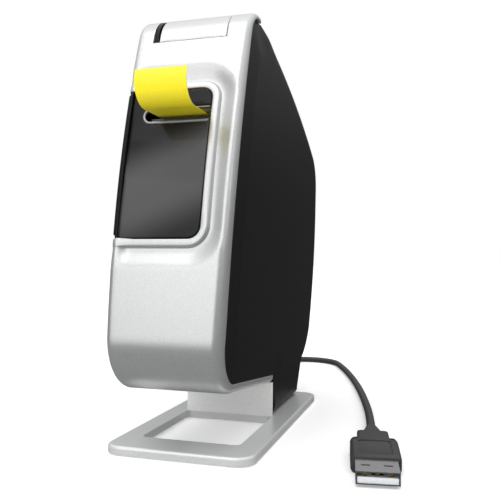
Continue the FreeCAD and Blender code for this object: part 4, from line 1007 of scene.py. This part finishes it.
def ribs_tree(name):
    """Geometry Nodes: small rounded ribs repeated in a row, with their count, pitch and size as inputs."""
    tree = bpy.data.node_groups.new(name, "GeometryNodeTree")
    for label, kind in (("Count", "Int"), ("Start", "Vector"), ("Pitch", "Vector"), ("Size", "Vector")):
        tree.interface.new_socket(label, in_out="INPUT", socket_type="NodeSocket" + kind)
    tree.interface.new_socket("Geometry", in_out="OUTPUT", socket_type="NodeSocketGeometry")
    given = add(tree, "NodeGroupInput").outputs
    row = add(tree, "GeometryNodeMeshLine", {
        "Count": given["Count"], "Start Location": given["Start"], "Offset": given["Pitch"]})
    rib = add(tree, "GeometryNodeMeshUVSphere", {"Segments": 16, "Rings": 8, "Radius": 0.5})
    ribs = add(tree, "GeometryNodeInstanceOnPoints", {
        "Points": row.outputs["Mesh"], "Instance": rib.outputs["Mesh"], "Scale": given["Size"]})
    real = add(tree, "GeometryNodeRealizeInstances", {"Geometry": ribs.outputs["Instances"]})
    add(tree, "NodeGroupOutput", {"Geometry": real.outputs["Geometry"]})
    return tree


grip_ribs = ribs_tree("grip_ribs")


def rib_row(name, body, slot, material, **inputs):
    """A row of ribs as a plain mesh that rides on a body."""
    carrier = placed(name, bpy.data.meshes.new(name))
    maker = carrier.modifiers.new("ribs", "NODES")
    maker.node_group = grip_ribs
    for item in grip_ribs.interface.items_tree:
        if item.in_out == "INPUT":
            maker[item.identifier] = inputs[item.name.lower()]
    smooth(settled(carrier), 60)
    paint(carrier, material)
    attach(carrier, body)
    return carrier


rib_level = 54.5
rib_row("hatch_ribs", "battery_hatch", "black_plastic", black_abs, count=9,
        start=(-(half_width(rib_level) - 0.05) * MM, -27 * MM, rib_level * MM), pitch=(0, 3 * MM, 0),
        size=(0.9 * MM, 1.0 * MM, 5.5 * MM))
switch_low, switch_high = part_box("switch_knob")
rib_row("switch_ribs", "switch", "black_plastic", black_abs, count=4,
        start=(switch_low.x + 0.6 * MM, switch_high.y, (switch_low.z + switch_high.z) / 2),
        pitch=(0.93 * MM, 0, 0), size=(0.4 * MM, 0.5 * MM, 2.2 * MM))
rib_row("relief_rings", "body", "cord_black", flex_rubber, count=4,
        start=(-6 * MM, 46.5 * MM, 10 * MM), pitch=(0, 2.3 * MM, 0), size=(6.0 * MM, 1.1 * MM, 6.0 * MM))

# --- Yellow label ---
# Polyester label tape, 16 mm wide, still curled from its spool. Its coated face has a fine speckle; it
# is palest at the curled end and deepest in the shade of the slot.

tape, tree, shader, place = start_material("yellow_label_tape", Roughness=0.42, Specular_IOR_Level=0.3)
axes = add(tree, "ShaderNodeSeparateXYZ", {"Vector": place})
rise = add(tree, "ShaderNodeMapRange", {"Value": axes.outputs["Z"], "From Min": 0.104, "From Max": 0.1146})
shades = shaded(tree, rise.outputs["Result"], (0, "#B5A81A"), (0.4, "#EDDB14"), (1, "#F3E63F"))
fleck = add(tree, "ShaderNodeTexNoise", {"Vector": place, "Scale": 4200.0, "Detail": 2.0})
spread = add(tree, "ShaderNodeMapRange", {"Value": fleck.outputs["Fac"], "From Min": 0.35, "From Max": 0.65,
                                          "To Min": 0.93, "To Max": 1.05})
flecked = add(tree, "ShaderNodeVectorMath", {0: shades.outputs["Color"], 1: spread.outputs["Result"]},
              operation="MULTIPLY")
tree.links.new(flecked.outputs["Vector"], shader.inputs["Base Color"])
coat(tape, "label_tape", "tape_tail", "tape_spool")

# --- Stand ---
# The ring is die-cast metal in satin silver lacquer, the riser a moulded ABS part in pearl white.

stand_lacquer = grained("stand_silver_lacquer", "#D6D7D8", "#E2E3E3", 0.3, 0.006,
                        Metallic=0.3, Roughness=0.33, Coat_Weight=0.2, Coat_Roughness=0.2)
pearl_abs = grained("pearl_white_abs", "#E4E4E3", "#EFEFEE", 0.5, 0.01, Roughness=0.45)
foot_rubber = grained("foot_rubber", "#141414", "#202020", 0.7, 0.03, Roughness=0.75)
coat(stand_lacquer, "stand_ring")
coat(pearl_abs, "stand_riser")
coat(foot_rubber, "rear_foot_pad", "front_foot_pads", "platen_roller")

# --- Works inside ---
# Zinc-plated pins and plates, acetal gears, a ceramic print head, the tape cassette and the board.

zinc_steel = grained("zinc_plated_steel", "#8F9295", "#B5B8BB", 0.35, 0.006, (1, 1, 0.3),
                     Metallic=1.0, Roughness=0.34)
acetal = grained("natural_acetal", "#D9D6CC", "#E8E6DE", 0.5, 0.008, Roughness=0.38)
cast_aluminium = grained("milled_aluminium", "#A9ABAE", "#C6C8CA", 0.3, 0.008, (1, 5, 1),
                         Metallic=1.0, Roughness=0.38)
glazed_ceramic = grained("glazed_ceramic", "#C8C4B6", "#DAD7CB", 0.4, 0.004, Roughness=0.22)
cassette_styrene = grained("smoked_styrene", "#3A3A3D", "#48484C", 0.45, 0.012, Roughness=0.35)
ribbon_film = grained("wax_ribbon_film", "#0D0C0D", "#1B191A", 0.25, 0.004, (0.4, 3, 3), Roughness=0.28)
black_epoxy = grained("black_epoxy", "#131313", "#1D1D1D", 0.4, 0.01, Roughness=0.5)
battery_wrap = grained("battery_shrink_wrap", "#15202E", "#1E2C3E", 0.8, 0.006, Roughness=0.3)
solder_resist = grained("green_solder_resist", "#0B3D22", "#11522F", 0.6, 0.006, Roughness=0.33)
coat(zinc_steel, "housing_screws", "stand_screws", "chassis_screws", "door_hinge_pin", "gear_studs", "motor",
     "motor_shaft", "platen_shaft", "arm_pin", "chassis", "blade_springs", "cutter_blade", "bearing_bridge")
coat(acetal, "takeup_spindle", "platen_gear", "front_idler_gear", "takeup_gear", "rear_idler_gear",
     "motor_pinion", "platen_bearing", "blade_carriage")
coat(cast_aluminium, "head_arm")
coat(glazed_ceramic, "print_head")
coat(cassette_styrene, "cassette_lid", "cassette_tray", "tape_guide")
coat(ribbon_film, "ribbon_spool", "takeup_spool")
coat(black_epoxy, "board_chips")
coat(battery_wrap, "battery_pack")
coat(solder_resist, "main_board")
coat(black_abs, "switch_knob")

# --- Studio ---
# A plain pale floor, one broad soft light from the front left, one from above and a weak fill.

studio_floor = start_material("studio_floor", Base_Color=tone("#F4F4F4"), Roughness=0.9,
                              Emission_Color=tone("#FFFFFF"), Emission_Strength=0.3)[0]
floor = placed("floor", mesh_of("floor", [(-6, -6, 0), (6, -6, 0), (6, 6, 0), (-6, 6, 0)], [(0, 1, 2, 3)]))
paint(floor, studio_floor)
floor.visible_glossy = False
world = bpy.data.worlds.new("studio")
bpy.context.scene.world = world
world.use_nodes = True
sky = world.node_tree
sky.nodes.clear()
seen = add(sky, "ShaderNodeLightPath")
way = add(sky, "ShaderNodeTexCoord")
upward = add(sky, "ShaderNodeSeparateXYZ", {"Vector": way.outputs["Generated"]})
glow = add(sky, "ShaderNodeMapRange", {
    "Value": upward.outputs["Z"], "From Min": 0.15, "From Max": 0.9, "To Min": 0.1, "To Max": 1.35})
lit = add(sky, "ShaderNodeBackground", {"Color": (1, 1, 1, 1), "Strength": glow.outputs["Result"]})
plain = add(sky, "ShaderNodeBackground", {"Color": (1, 1, 1, 1), "Strength": 1.0})
backdrop = add(sky, "ShaderNodeMixShader", {
    0: seen.outputs["Is Camera Ray"], 1: lit.outputs["Background"], 2: plain.outputs["Background"]})
add(sky, "ShaderNodeOutputWorld", {"Surface": backdrop.outputs["Shader"]})
# Each lamp: name, place and size in metres, and power.
LAMPS = (
    ("front_softbox", (-0.35, -1.2, 0.3), 0.9, 3.9), ("top_softbox", (-0.15, -0.6, 1.0), 0.8, 3.0),
    ("right_strip", (0.75, -0.6, 0.5), 0.2, 0.25),
)
for name, place, size, power in LAMPS:
    lamp = bpy.data.lights.new(name, "AREA")
    lamp.size = size
    lamp.energy = power
    light = placed(name, lamp)
    light.location = place
    light.rotation_euler = (Vector((0, 0, 0.07)) - Vector(place)).to_track_quat("-Z", "Y").to_euler()
bpy.context.scene.view_settings.view_transform = "Standard"
